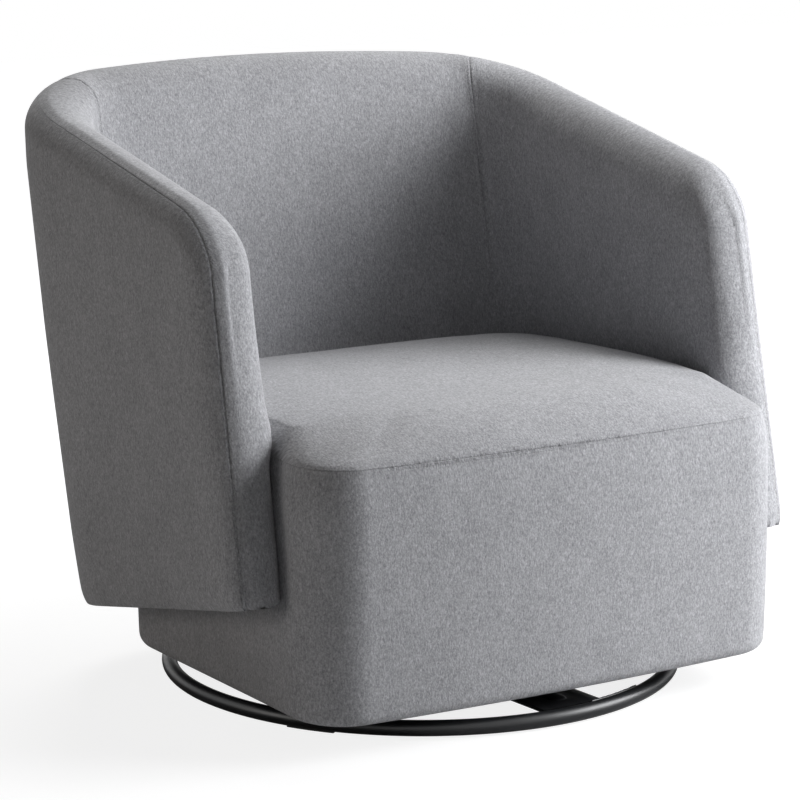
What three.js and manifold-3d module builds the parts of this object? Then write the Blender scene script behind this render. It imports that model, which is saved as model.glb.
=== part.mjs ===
// Swivel tub chair. A padded shell makes the back and both arms in one sweep and leans back as a whole.
// A deep seat block stands inside it, and the two turn together on a ball race over a ring of steel tube.
// Millimetres, +Z up, the front of the chair towards -Y.
import * as THREE from 'three';
import { mergeVertices } from 'three/addons/utils/BufferGeometryUtils.js';
import Module from 'manifold-3d';

const wasm = await Module();
wasm.setup();

// Gaps and overruns
const fit = 0.3;
const softFit = 0.6;
const overrun = 8;

// Shell: plan, seen along its own upright axis
const shellHalfWidth = 397;
const shellThickness = 81;
const lowerThickness = 66.7;
const armLength = 352;
const shellCornerRadius = 177;
const backBow = THREE.MathUtils.degToRad(8);
const cornerSeamTurn = THREE.MathUtils.degToRad(50);

// Shell: side view, and how it stands
const shellLean = THREE.MathUtils.degToRad(11.7);
const shellFrontY = -237;
const shellFrontZ = 174;
const armFrontHeight = 437;
const armTopSlope = 0.432;
const armCornerRadius = 71;

// Shell: edges and layers, from the outer face inwards
const outerEdgeRadius = 38;
const seamInset = 11;
const footRound = 16;
const seamDraw = 3.5;
const shellSeamDraw = 2;
const seamPull = 14;
const outerPanelThickness = 12;
const shellBoard = 24;
const webbingThickness = 1.6;
const webbingWidth = 60;
const frameSetback = 30;
const shellRailHeight = 58;
const frameFoot = 5;
const postWidth = 46;
const archRailWidth = 70;

// Seat block
const blockFrontY = -320;
const blockFrontBow = 9;
const blockCornerRadius = 69;
const undersideZ = 40;
const seatSeamZ = 333;
const seatEdgeZ = 364;
const seatCrown = 9;
const seatRearDrop = 6;
const frontRoll = 190;
const sideRoll = 22;
const noseRoll = 120;
const bottomRound = 14;
const borderThickness = 14;
const bulgeRise = 17;

// Seat frame and suspension
const seatBoard = 20;
const deckZ = 236;
const cornerPost = 46;
const dustCoverThickness = 0.8;
const slatWidth = 58;
const springCount = 4;
const springSideGap = 75.4;
const springSwing = 25;
const springWaves = 10;
const springWire = 1.9;
const feltThickness = 4;

// Swivel
const swivelPlateThickness = 2.5;
const upperPlateSize = 164;
const lowerPlateSize = 152;
const plateCornerRadius = 14;
const ballCircle = 42;
const ballRadius = 4.6;
const ballCount = 12;
const cageThickness = 2;
const raceWidth = 14;
const rivetRadius = 11;
const rivetWall = 3.5;
const rivetFlange = 6;
const rivetHead = 1.6;

// Fasteners
const screwRadius = 3;
const screwLength = 17;
const screwInset = 18;
const boltRadius = 4;
const boltHeadRadius = 8;
const boltHeadHeight = 4;
const boltBite = 20;
const plateBoltSpacingX = 54;
const plateBoltSpacingY = 118;

// Floor ring and cross bar
const ringRadius = 310;
const tubeRadius = 9.5;
const glideThickness = 1.2;
const glideWidth = 10;
const glideSpan = THREE.MathUtils.degToRad(11);
const glideCount = 3;
const baseTurn = THREE.MathUtils.degToRad(3.2);
const barWidth = 85;
const barThickness = 4;
const barLift = 6.5;
const ribWidth = 24;
const ribHeight = 4;
const ribEndGap = 26;

// Heights that stack from the floor up
const ringZ = glideThickness + tubeRadius;
const barTopZ = ringZ + barLift + barThickness / 2;
const slatBottomZ = undersideZ + dustCoverThickness + fit;
const upperPlateZ = slatBottomZ - fit - swivelPlateThickness;
const lowerPlateZ = barTopZ + fit;
const lowerPlateTopZ = lowerPlateZ + swivelPlateThickness;
const ballZ = (lowerPlateTopZ + upperPlateZ) / 2;
const springZ = deckZ + fit + springWire;
const feltZ = springZ + springWire + fit;
const cushionBottomZ = feltZ + feltThickness + fit;
const blockHalfWidth = shellHalfWidth - lowerThickness - fit;
const innerEdgeRadius = shellThickness - outerEdgeRadius;
const frameNear = outerPanelThickness + fit * 2;
const frameFar = frameNear + shellBoard;
const cavityFar = frameFar + fit + webbingThickness + fit;

const cloth = { color: 0x8f9094, roughness: 0.95, metalness: 0 };
const plywood = { color: 0xb98d5a, roughness: 0.7, metalness: 0 };
const blackSteel = { color: 0x17181a, roughness: 0.35, metalness: 0.6 };
const zincSteel = { color: 0xb4b7ba, roughness: 0.35, metalness: 0.9 };
const darkCloth = { color: 0x1d1d1f, roughness: 0.95, metalness: 0 };
const blackPlastic = { color: 0x202022, roughness: 0.6, metalness: 0 };

const chair = new THREE.Group();
const base = new THREE.Group();
const turning = new THREE.Group();
const shell = new THREE.Group();
base.rotation.z = baseTurn;
shell.rotation.x = -shellLean;
shell.position.set(0, shellFrontY, shellFrontZ);
turning.add(shell);
chair.add(base, turning);

function addMesh(group, name, geometry, look) {
  const mesh = new THREE.Mesh(geometry, new THREE.MeshStandardMaterial(look));
  mesh.name = name;
  group.add(mesh);
  return mesh;
}

// Joining and cutting
function toSolid(geometry) {
  const bare = geometry.clone();
  bare.deleteAttribute('normal');
  bare.deleteAttribute('uv');
  const welded = mergeVertices(bare);
  return new wasm.Manifold(new wasm.Mesh({
    numProp: 3,
    vertProperties: new Float32Array(welded.attributes.position.array),
    triVerts: new Uint32Array(welded.index.array),
  }));
}

function toGeometry(solid) {
  const { vertProperties, triVerts } = solid.getMesh();
  const geometry = new THREE.BufferGeometry();
  geometry.setAttribute('position', new THREE.BufferAttribute(vertProperties, 3));
  geometry.setIndex(new THREE.BufferAttribute(triVerts, 1));
  geometry.computeVertexNormals();
  return geometry;
}

const cut = (geometry, ...cutters) =>
  toGeometry(cutters.reduce((solid, cutter) => solid.subtract(toSolid(cutter)), toSolid(geometry)));
const join = (geometry, ...others) =>
  toGeometry(others.reduce((solid, other) => solid.add(toSolid(other)), toSolid(geometry)));
const overlapOf = (geometry, other) => toGeometry(toSolid(geometry).intersect(toSolid(other)));

// A box from its two opposite corners, a cylinder along an axis, and a plate with round corners
function block(x0, x1, y0, y1, z0, z1) {
  return new THREE.BoxGeometry(x1 - x0, y1 - y0, z1 - z0)
    .translate((x0 + x1) / 2, (y0 + y1) / 2, (z0 + z1) / 2);
}

function rod(radius, from, to, sides = 16) {
  const length = from.distanceTo(to);
  const turn = new THREE.Quaternion().setFromUnitVectors(
    new THREE.Vector3(0, 1, 0), to.clone().sub(from).normalize());
  const middle = from.clone().add(to).multiplyScalar(0.5);
  return new THREE.CylinderGeometry(radius, radius, length, sides)
    .applyQuaternion(turn).translate(middle.x, middle.y, middle.z);
}

function roundedPlate(size, corner, bottomZ, thickness) {
  const half = size / 2;
  const flat = half - corner;
  const outline = new THREE.Shape();
  outline.moveTo(half, -flat);
  outline.absarc(flat, flat, corner, 0, Math.PI / 2);
  outline.absarc(-flat, flat, corner, Math.PI / 2, Math.PI);
  outline.absarc(-flat, -flat, corner, Math.PI, Math.PI * 1.5);
  outline.absarc(flat, -flat, corner, Math.PI * 1.5, Math.PI * 2);
  return new THREE.ExtrudeGeometry(outline, { depth: thickness, bevelEnabled: false, curveSegments: 4 })
    .translate(0, 0, bottomZ);
}

function ringTube(radius, tube, z, steps = 72, sides = 12) {
  const turn = Math.PI / sides;
  const profile = [];
  for (let i = 0; i <= sides; i += 1) {
    const angle = -Math.PI / 2 + turn + (i / sides) * Math.PI * 2;
    profile.push(new THREE.Vector2(radius + tube * Math.cos(angle), z + tube * Math.sin(angle)));
  }
  return turned(profile, steps);
}

// A lathe solid about Z from a closed profile of radius and height
function turned(profile, steps) {
  const lathe = new THREE.LatheGeometry(profile, steps).rotateX(Math.PI / 2);
  lathe.deleteAttribute('normal');
  lathe.deleteAttribute('uv');
  return facingOut(mergeVertices(lathe));
}

function flipped(geometry) {
  const index = geometry.index.array;
  for (let i = 0; i < index.length; i += 3) [index[i], index[i + 1]] = [index[i + 1], index[i]];
  return geometry;
}

// A solid through rings of points, all with the same count; the first and last rings are filled
function loft(rings) {
  const count = rings[0].length;
  const points = rings.flat();
  const faces = [];
  for (let r = 0; r + 1 < rings.length; r += 1) {
    for (let i = 0; i < count; i += 1) {
      const a = r * count + i;
      const b = r * count + ((i + 1) % count);
      faces.push(a, b, b + count, a, b + count, a + count);
    }
  }
  fill(rings[0]).forEach(([a, b, c]) => faces.push(c, b, a));
  const last = (rings.length - 1) * count;
  fill(rings[rings.length - 1]).forEach(([a, b, c]) => faces.push(last + a, last + b, last + c));
  const geometry = new THREE.BufferGeometry().setFromPoints(points);
  geometry.setIndex(faces);
  return facingOut(geometry);
}

// Triangles that fill a ring, worked out in the plane that it lies in
function fill(ring) {
  const normal = new THREE.Vector3();
  ring.forEach((p, i) => {
    const q = ring[(i + 1) % ring.length];
    normal.add(new THREE.Vector3().crossVectors(p, q));
  });
  const toFlat = new THREE.Quaternion().setFromUnitVectors(normal.normalize(), new THREE.Vector3(0, 0, 1));
  const flat = ring.map((p) => p.clone().applyQuaternion(toFlat)).map((p) => new THREE.Vector2(p.x, p.y));
  return THREE.ShapeUtils.triangulateShape(flat, []);
}

// Faces turned outwards, which a closed surface shows by its volume's sign
function facingOut(geometry) {
  const { position } = geometry.attributes;
  const corner = (i) => new THREE.Vector3().fromBufferAttribute(position, geometry.index.array[i]);
  let volume = 0;
  for (let i = 0; i < geometry.index.count; i += 3) {
    volume += corner(i).dot(new THREE.Vector3().crossVectors(corner(i + 1), corner(i + 2)));
  }
  if (volume < 0) flipped(geometry);
  geometry.computeVertexNormals();
  return geometry;
}

// Plan of the shell: the outer face's stations from the right arm's front edge round to the middle of
// the back. Each has its place, the way inwards, how far the wall has turned, and its distance from the
// arm's front edge.
const cornerX = shellHalfWidth - shellCornerRadius;
const bowX = cornerX + shellCornerRadius * Math.sin(backBow);
const bowRadius = bowX / Math.sin(backBow);
const bowCentreV = armLength + (shellCornerRadius - bowRadius) * Math.cos(backBow);

function armStation(v) {
  return { x: shellHalfWidth, v, turn: 0, edge: v, draw: 0 };
}

function cornerStation(turn, draw = 0) {
  return {
    x: cornerX + shellCornerRadius * Math.cos(turn),
    v: armLength + shellCornerRadius * Math.sin(turn),
    turn,
    edge: Infinity,
    draw,
  };
}

function backStation(turn) {
  return {
    x: bowRadius * Math.cos(turn), v: bowCentreV + bowRadius * Math.sin(turn), turn, edge: Infinity, draw: 0,
  };
}

const spread = (from, to, count) =>
  Array.from({ length: count + 1 }, (_, i) => from + ((to - from) * i) / count);

function mirrorStation(station) {
  return { ...station, x: -station.x, turn: Math.PI - station.turn };
}

// A point of the shell: depth in from the outer face at a station, and height along the shell
function shellPoint(station, depth, height) {
  return new THREE.Vector3(
    station.x - depth * Math.cos(station.turn), station.v - depth * Math.sin(station.turn), height);
}

const topLine = (station) => armFrontHeight + armTopSlope * station.v;
const heightAtZ = (station, z) => (z - shellFrontZ + station.v * Math.sin(shellLean)) / Math.cos(shellLean);

// How far below the straight top line a point lies whose distance in from the rounded edge is inset
function topDrop(station, inset, radius = armCornerRadius) {
  if (station.edge >= radius) return inset;
  return radius - Math.sqrt(Math.max((radius - inset) ** 2 - (radius - station.edge) ** 2, 0));
}

const roundIn = (radius, inset) =>
  (inset >= radius ? 0 : radius - Math.sqrt(radius ** 2 - (radius - inset) ** 2));

// One section through the whole padded wall: outer face up, over the soft top edge, inner face down.
// Below the seat the wall is thinner, where the seat block stands against it.
const edgeShares = [1, 0.72, 0.45, 0.22, 0.07];
const footShares = [[0.5, 0], [0.16, 0.22], [0.02, 0.65], [0, 1]];
function wallSection(station, grow = 0) {
  const top = topLine(station) - station.draw;
  const outerLimit = Math.min(outerEdgeRadius, station.edge);
  const innerLimit = Math.min(innerEdgeRadius, station.edge);
  const low = lowerThickness + (shellThickness - lowerThickness) * Math.sin(station.turn) - station.draw + grow;
  const high = shellThickness - station.draw + grow;
  const innerFace = (face, inset) =>
    outerEdgeRadius + (face - outerEdgeRadius) * (1 - roundIn(innerEdgeRadius, inset) / innerEdgeRadius);
  const face = roundIn(outerEdgeRadius, outerLimit);
  const foot = Math.min(footRound, outerEdgeRadius - face);
  const ring = footShares.map(([inward, up]) => [face + foot * inward, foot * up]);
  edgeShares.forEach((share) => {
    const inset = share * outerLimit;
    ring.push([roundIn(outerEdgeRadius, inset), top - topDrop(station, inset)]);
  });
  ring.push([outerEdgeRadius, top - topDrop(station, 0)]);
  [...edgeShares].reverse().forEach((share) => {
    const inset = share * innerLimit;
    ring.push([innerFace(high, inset), top - topDrop(station, inset)]);
  });
  ring.push([innerFace(high, innerLimit), heightAtZ(station, seatSeamZ + bulgeRise)]);
  ring.push([innerFace(low, innerLimit), heightAtZ(station, seatSeamZ)]);
  ring.push([innerFace(low, innerLimit), 0]);
  return ring.map(([depth, height]) => shellPoint(station, depth, height));
}

const wallSolid = (stations, grow = 0) => loft(stations.map((station) => wallSection(station, grow)));

// A square-edged layer of the wall between two depths, from height low to high at every station
function wallLayer(stations, near, far, low, high) {
  return loft(stations.map((s) => [
    shellPoint(s, near, low(s)), shellPoint(s, near, high(s)),
    shellPoint(s, far, high(s)), shellPoint(s, far, low(s)),
  ]));
}

// Every layer of the wall, and the seat block against it, bends at these same turns of the corner
const seamPullTurn = seamPull / (shellCornerRadius - shellThickness);
const backTurn = Math.PI / 2 - backBow;
const turnsToSeam = spread(0, cornerSeamTurn - seamPullTurn, 4);
const turnsPastSeam = spread(cornerSeamTurn + seamPullTurn, backTurn, 2);
const bowTurns = spread(backTurn, Math.PI / 2, 3).slice(1);
const seamStation = (draw = 0) => cornerStation(cornerSeamTurn, draw);
const bothSides = (half) => [...half, ...half.slice(0, -1).reverse().map(mirrorStation)];

const frontShares = [0.006, 0.05, 0.16, 0.34, 0.6, 1];
function armStations(draw = shellSeamDraw) {
  return [
    ...frontShares.map((share) => armStation(share * innerEdgeRadius)),
    armStation(armCornerRadius),
    armStation((armCornerRadius + armLength) / 2),
    ...turnsToSeam.map((turn) => cornerStation(turn)),
    seamStation(draw),
  ];
}

function backHalf(first) {
  return [first, ...turnsPastSeam.map((turn) => cornerStation(turn)), ...bowTurns.map(backStation)];
}

// The back's own end stations stand a gap in from the seam that the arms reach
function backStations(draw = shellSeamDraw) {
  const gapTurn = fit / (shellCornerRadius - shellThickness);
  return bothSides(backHalf(cornerStation(cornerSeamTurn + gapTurn, draw)));
}

// Stations of a layer that is set in from the arm's front and top edges, and runs on past the seam
const insetShares = [0.01, 0.12, 0.35, 0.65, 1];
function insetFront(inset) {
  const radius = armCornerRadius - inset;
  return insetShares.map((share) => ({ ...armStation(inset + share * radius), edge: share * radius }));
}

function insetStations(inset) {
  return [
    ...insetFront(inset), ...turnsToSeam.map((turn) => cornerStation(turn)),
    seamStation(), cornerStation(turnsPastSeam[0]),
  ];
}

function wholeBackStations(from = turnsToSeam.length - 1) {
  const start = turnsToSeam.slice(from).map((turn) => cornerStation(turn));
  return bothSides([...start, ...backHalf(seamStation())]);
}

const insetTop = (inset) => (s) => topLine(s) - inset - topDrop(s, 0, armCornerRadius - inset);
const belowFoot = () => -overrun;

function mirrored(geometry) {
  return flipped(geometry.clone().scale(-1, 1, 1));
}

// Inner arm pad: foam and cover in one piece, over the top and round the front to the outer seam.
// The board frame stands in its pocket, and the outer panel lies in its recess.
function armPad() {
  const pocket = wallLayer(insetStations(frameSetback), outerPanelThickness, cavityFar, belowFoot, insetTop(frameSetback));
  const recess = wallLayer(insetStations(seamInset), -overrun, outerPanelThickness + fit, belowFoot, insetTop(seamInset));
  return cut(wallSolid(armStations()), pocket, recess, ...armBoltHoles());
}

function outerArmPanel() {
  const stations = insetStations(seamInset + fit);
  const bed = wallLayer(stations, -overrun, outerPanelThickness, belowFoot, insetTop(seamInset + fit));
  return overlapOf(wallSolid(armStations()), bed);
}

function backPad() {
  const stations = wholeBackStations();
  const pocket = wallLayer(stations, outerPanelThickness, cavityFar, belowFoot, insetTop(frameSetback));
  const recess = wallLayer(stations, -overrun, outerPanelThickness + fit, belowFoot, insetTop(seamInset));
  return cut(wallSolid(backStations()), pocket, recess, ...backBoltHoles());
}

function outerBackPanel() {
  const bed = wallLayer(
    wholeBackStations(), -overrun, outerPanelThickness, belowFoot, insetTop(seamInset + fit));
  return overlapOf(wallSolid(backStations()), bed);
}

// Bolts that hold the shell to the seat frame, as places along the shell
const armBoltVs = [armLength * 0.26, armLength * 0.85];
const armBoltHeight = shellRailHeight * 0.75;
const backBoltX = cornerX * 0.55;
const backBoltHeight = frameFoot + shellRailHeight / 2;
const seatRailInnerX = blockHalfWidth - borderThickness - softFit - seatBoard;

function armBoltSpan(v) {
  return [
    new THREE.Vector3(seatRailInnerX - fit, v, armBoltHeight),
    new THREE.Vector3(shellHalfWidth - frameNear - shellBoard + boltBite, v, armBoltHeight),
  ];
}

function backBoltSpan() {
  const turn = Math.acos(backBoltX / bowRadius);
  const outer = backStation(turn);
  const railInner = shellThickness + fit + borderThickness + softFit + seatBoard;
  return [
    shellPoint(outer, railInner + softFit + fit, backBoltHeight),
    shellPoint(outer, frameNear + shellBoard - boltBite, backBoltHeight),
  ];
}

const stretched = ([from, to]) => {
  const step = to.clone().sub(from).setLength(overrun);
  return [from.clone().sub(step), to.clone().add(step)];
};
const boltHole = (span) => rod(boltRadius + fit, ...stretched(span), 12);
const armBoltHoles = () => armBoltVs.map((v) => boltHole(armBoltSpan(v)));
const mirroredSpan = (span) => span.map((p) => new THREE.Vector3(-p.x, p.y, p.z));
const backBoltHoles = () => [boltHole(backBoltSpan()), boltHole(mirroredSpan(backBoltSpan()))];

function bolt([from, to]) {
  const step = to.clone().sub(from).normalize();
  const headStart = from.clone().addScaledVector(step, -boltHeadHeight);
  const shankStart = from.clone().addScaledVector(step, -boltHeadHeight / 2);
  return join(rod(boltHeadRadius, headStart, from, 12), rod(boltRadius, shankStart, to, 12));
}

// Arm frame: one board with a lightening hole, its front and top edges following the arm
function armFrame() {
  const inset = frameSetback + fit;
  const stations = [...insetFront(inset), armStation(armLength - fit)];
  const board = wallLayer(stations, frameNear, frameFar, () => frameFoot, insetTop(inset));
  const windowSolid = wallLayer(
    [armStation(inset + archRailWidth), armStation(armLength - archRailWidth)],
    frameNear - overrun, frameFar + overrun,
    () => frameFoot + shellRailHeight * 1.5, (s) => topLine(s) - inset - archRailWidth);
  return cut(board, windowSolid, ...armBoltHoles());
}

// Back frame: a bent rail along the top, one along the foot, posts between them and straps across them
const railTop = (s) => insetTop(frameSetback + fit)(s);
const railUnder = (s) => railTop(s) - shellRailHeight;
const footTop = () => frameFoot + shellRailHeight;

function backTopRail() {
  return wallLayer(wholeBackStations(0), frameNear, frameFar, railUnder, railTop);
}

function backFootRail() {
  const rail = wallLayer(wholeBackStations(0), frameNear, frameFar, () => frameFoot, footTop);
  return cut(rail, ...backBoltHoles());
}

function backPost(stations) {
  return wallLayer(stations, frameNear, frameFar, () => footTop() + fit, (s) => railUnder(s) - fit);
}

function middlePost() {
  const centre = Math.acos(backBoltX / bowRadius);
  const halfTurn = postWidth / 2 / bowRadius;
  return backPost([backStation(centre + halfTurn), backStation(centre - halfTurn)]);
}

const cornerPostPiece = () => backPost(turnsToSeam.slice(2, 4).reverse().map((turn) => cornerStation(turn)));

function backStrap(share) {
  const middle = (s) => footTop() + (railUnder(s) - footTop()) * share;
  return wallLayer(
    wholeBackStations(0), frameFar + fit, frameFar + fit + webbingThickness,
    (s) => middle(s) - webbingWidth / 2, (s) => middle(s) + webbingWidth / 2);
}

// Seat block outline at a height: bowed front, round front corners, straight sides, and a rear that
// leans with the shell and follows its inner face. Points run round from the middle of the front.
const shellY = (v, z) => shellFrontY + (v + (z - shellFrontZ) * Math.sin(shellLean)) / Math.cos(shellLean);
const noseX = blockHalfWidth - blockCornerRadius;
const noseY = blockFrontY + blockFrontBow;

function blockHalfOutline(inset, z) {
  const points = [];
  spread(0, 1, 4).slice(0, -1).forEach((share) => {
    points.push([noseX * share, blockFrontY + blockFrontBow * share ** 2 + inset]);
  });
  spread(0, Math.PI / 2, 6).forEach((turn) => {
    const radius = blockCornerRadius - inset;
    points.push([noseX + radius * Math.sin(turn), noseY + blockCornerRadius - radius * Math.cos(turn)]);
  });
  const sideFrontY = noseY + blockCornerRadius;
  const sideRearY = shellY(armLength, z);
  spread(0, 1, 5).slice(1, -1).forEach((share) => {
    points.push([blockHalfWidth - inset, sideFrontY + (sideRearY - sideFrontY) * share]);
  });
  const rearTurns = [...turnsToSeam, cornerSeamTurn, ...turnsPastSeam, ...bowTurns];
  rearTurns.forEach((turn) => {
    const station = turn > backTurn ? backStation(turn) : cornerStation(turn);
    const depth = lowerThickness + fit + (shellThickness - lowerThickness) * Math.sin(turn) + inset;
    const point = shellPoint(station, depth, 0);
    points.push([point.x, shellY(point.y, z)]);
  });
  return points;
}

function blockRing(inset, z) {
  const half = blockHalfOutline(inset, z);
  const left = half.slice(1, -1).reverse().map(([x, y]) => [-x, y]);
  return [...half, ...left].map(([x, y]) => new THREE.Vector3(x, y, z));
}

const blockPrism = (inset, z0, z1) => loft([blockRing(inset, z0), blockRing(inset, z1)]);

// Seat border: the deep band under the seam, rounded under at the foot and drawn in at the seam
function borderBand() {
  const outside = loft([
    blockRing(bottomRound * 0.8, undersideZ),
    blockRing(bottomRound * 0.25, undersideZ + bottomRound * 0.3),
    blockRing(0, undersideZ + bottomRound),
    blockRing(0, seatSeamZ - seamPull),
    blockRing(seamDraw, seatSeamZ),
  ]);
  return cut(outside, blockPrism(borderThickness, undersideZ - overrun, seatSeamZ + overrun));
}

const borderFrontEndY = noseY + blockCornerRadius;
const borderRearStartY = shellY(armLength, undersideZ) - fit;
const reach = shellHalfWidth * 2;
const tall = [undersideZ - overrun, seatSeamZ + overrun];

function borderPieces() {
  const band = borderBand();
  const sideCut = block(0, reach, borderFrontEndY + fit, borderRearStartY - fit, ...tall);
  return {
    seat_border_front: overlapOf(band, block(-reach, reach, -reach, borderFrontEndY, ...tall)),
    seat_border_rear: cut(
      overlapOf(band, block(-reach, reach, borderRearStartY, reach, ...tall)), ...backBoltHoles().map(standing)),
    seat_border_right: cut(overlapOf(band, sideCut), ...armBoltHoles().map(standing)),
    seat_border_left: cut(overlapOf(band, mirrored(sideCut)), ...armBoltHoles().map(standing).map(mirrored)),
  };
}

// A geometry of the leaning shell, brought into the upright frame of the seat
function standing(geometry) {
  return geometry.clone().rotateX(-shellLean).translate(0, shellFrontY, shellFrontZ);
}

// Seat cushion: a core inside the border, and a crowned top that rolls over the front edge
const rollTurns = [0.18, 0.36, 0.56, 0.78, 1].map((share) => share * (Math.PI / 2));
const crownShares = [0.25, 0.5, 0.75, 0.93];

function rollAt(point) {
  const behind = THREE.MathUtils.smoothstep(point.y, borderFrontEndY - blockCornerRadius, borderFrontEndY + noseRoll);
  const across = Math.min(Math.abs(point.x) / noseX, 1);
  const front = THREE.MathUtils.lerp(frontRoll, noseRoll, across ** 6);
  return THREE.MathUtils.lerp(front, sideRoll, behind);
}

function cushionForm() {
  const core = borderThickness + softFit;
  const shelfZ = seatSeamZ + fit;
  const lipZ = shelfZ + seamDraw;
  const rings = [
    blockRing(core, cushionBottomZ), blockRing(core, shelfZ),
    blockRing(seamDraw, shelfZ), blockRing(0, lipZ),
  ];
  const rim = rings[3];
  const rearY = shellY(armLength + shellCornerRadius, lipZ);
  const middle = new THREE.Vector3(0, (blockFrontY + rearY) / 2, 0);
  const topZ = (p) => {
    const across = p.x / blockHalfWidth;
    const back = (p.y - middle.y) / (rearY - middle.y);
    return seatEdgeZ - seatRearDrop * Math.max(back, 0)
      + seatCrown * Math.max(1 - across ** 2, 0) * Math.max(1 - back ** 2, 0);
  };
  rollTurns.forEach((turn) => {
    rings.push(rim.map((p) => {
      const inward = middle.clone().sub(p).setZ(0).normalize();
      const q = p.clone().addScaledVector(inward, rollAt(p) * (1 - Math.cos(turn)));
      return q.setZ(lipZ + (topZ(q) - lipZ) * Math.sin(turn));
    }));
  });
  const brow = rings[rings.length - 1];
  crownShares.forEach((share) => {
    rings.push(brow.map((p) => p.clone().setZ(0).lerp(middle, share)).map((q) => q.setZ(topZ(q))));
  });
  return loft(rings);
}

function seatCushion() {
  const arm = standing(wallSolid(armStations(0), softFit));
  const back = standing(wallSolid(bothSides(backHalf(seamStation())), softFit));
  return cut(cushionForm(), arm, mirrored(arm), back);
}

// Seat frame: boards that stand inside the border, with a post in every corner
function frameBand(thickness) {
  const outer = borderThickness + softFit;
  return cut(
    blockPrism(outer, slatBottomZ, deckZ),
    blockPrism(outer + thickness, slatBottomZ - overrun, deckZ + overrun));
}

const sideBoardFrontY = borderFrontEndY;
const sideBoardRearY = shellY(armLength, slatBottomZ);
const rearBoardX = cornerX;
const deep = [slatBottomZ - overrun, deckZ + overrun];
const cornerZones = (gap) => [
  block(noseX + fit - gap, reach, -reach, sideBoardFrontY - fit + gap, ...deep),
  block(rearBoardX + fit - gap, reach, sideBoardRearY - gap, reach, ...deep),
];

function seatFramePieces() {
  const boards = frameBand(seatBoard);
  const posts = frameBand(cornerPost);
  const side = block(0, reach, sideBoardFrontY + fit, sideBoardRearY - fit, ...deep);
  const [frontPost, rearPost] = cornerZones(0);
  return {
    seat_rail_front: overlapOf(boards, block(-noseX, noseX, -reach, 0, ...deep)),
    seat_rail_rear: cut(
      overlapOf(boards, block(-rearBoardX, rearBoardX, 0, reach, ...deep)), ...backBoltHoles().map(standing)),
    seat_rail_right: cut(overlapOf(boards, side), ...armBoltHoles().map(standing)),
    seat_rail_left: cut(overlapOf(boards, mirrored(side)), ...armBoltHoles().map(standing).map(mirrored)),
    corner_post_front_right: overlapOf(posts, frontPost),
    corner_post_front_left: overlapOf(posts, mirrored(frontPost)),
    corner_post_rear_right: overlapOf(posts, rearPost),
    corner_post_rear_left: overlapOf(posts, mirrored(rearPost)),
  };
}

// Two slats across the bottom carry the swivel
const slatY = upperPlateSize / 2 - screwInset;
const screwPlace = upperPlateSize / 2 - screwInset;

function mountSlat(y) {
  const end = seatRailInnerX - fit;
  const slat = block(-end, end, y - slatWidth / 2, y + slatWidth / 2, slatBottomZ, slatBottomZ + seatBoard);
  const inside = blockPrism(borderThickness + softFit + cornerPost + fit, ...deep);
  const posts = cornerZones(fit).map((zone) => cut(zone, inside));
  const pilots = [-screwPlace, screwPlace].map((x) => rod(
    screwRadius + fit, new THREE.Vector3(x, y, slatBottomZ - overrun),
    new THREE.Vector3(x, y, slatBottomZ + screwLength), 10));
  return cut(slat, ...pilots, ...posts, ...posts.map(mirrored));
}

function plateScrew(x, y) {
  const tip = slatBottomZ + screwLength - swivelPlateThickness;
  const seat = upperPlateZ - fit;
  const head = rod(screwRadius * 2, new THREE.Vector3(x, y, seat - screwRadius), new THREE.Vector3(x, y, seat), 10);
  const shank = rod(screwRadius, new THREE.Vector3(x, y, seat - screwRadius / 2), new THREE.Vector3(x, y, tip), 10);
  return join(head, shank);
}

// Sinuous springs run from rail to rail; a felt sheet keeps them off the foam
const springX = seatRailInnerX - springSideGap;
function sinuousSpring(x) {
  const frontY = blockFrontY + blockFrontBow + borderThickness + seatBoard / 2;
  const rearY = shellY(armLength + shellCornerRadius - shellThickness - borderThickness - seatBoard / 2, springZ);
  const perWave = 6;
  const points = spread(0, 1, springWaves * perWave).map((share) => {
    const swing = Math.sin(share * springWaves * Math.PI * 2);
    return new THREE.Vector3(x + springSwing * swing, frontY + (rearY - frontY) * share, springZ);
  });
  const wire = new THREE.Shape(spread(0, Math.PI * 2, 5).slice(1)
    .map((angle) => new THREE.Vector2(springWire * Math.cos(angle), springWire * Math.sin(angle))));
  return new THREE.ExtrudeGeometry(wire, {
    steps: springWaves * perWave, extrudePath: new THREE.CatmullRomCurve3(points), bevelEnabled: false,
  });
}

function dustCover() {
  const sheet = blockPrism(borderThickness + softFit, undersideZ, undersideZ + dustCoverThickness);
  const hole = roundedPlate(upperPlateSize + softFit * 2, plateCornerRadius, undersideZ - overrun, overrun * 2);
  return cut(sheet, hole);
}

// Swivel: two pressed plates with a race each, a cage of balls between them and a hollow rivet through
function race(fromZ, towards) {
  const inner = ballCircle - raceWidth / 2;
  const outer = ballCircle + raceWidth / 2;
  const groove = ballRadius + fit;
  const crestZ = ballZ - towards * cageThickness;
  const rise = Math.abs(ballZ - crestZ);
  const half = Math.sqrt(groove ** 2 - rise ** 2);
  const from = Math.atan2(rise, half);
  const arc = spread(from, Math.PI - from, 4).map((angle) => new THREE.Vector2(
    ballCircle + groove * Math.cos(angle), ballZ - towards * groove * Math.sin(angle)));
  const root = fromZ - towards * swivelPlateThickness / 2;
  const profile = [
    new THREE.Vector2(outer, root), new THREE.Vector2(outer, crestZ), ...arc,
    new THREE.Vector2(inner, crestZ), new THREE.Vector2(inner, root), new THREE.Vector2(outer, root),
  ];
  return turned(profile, 30);
}

const zRod = (radius, x, y, z0, z1, sides = 12) =>
  rod(radius, new THREE.Vector3(x, y, z0), new THREE.Vector3(x, y, z1), sides);

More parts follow.
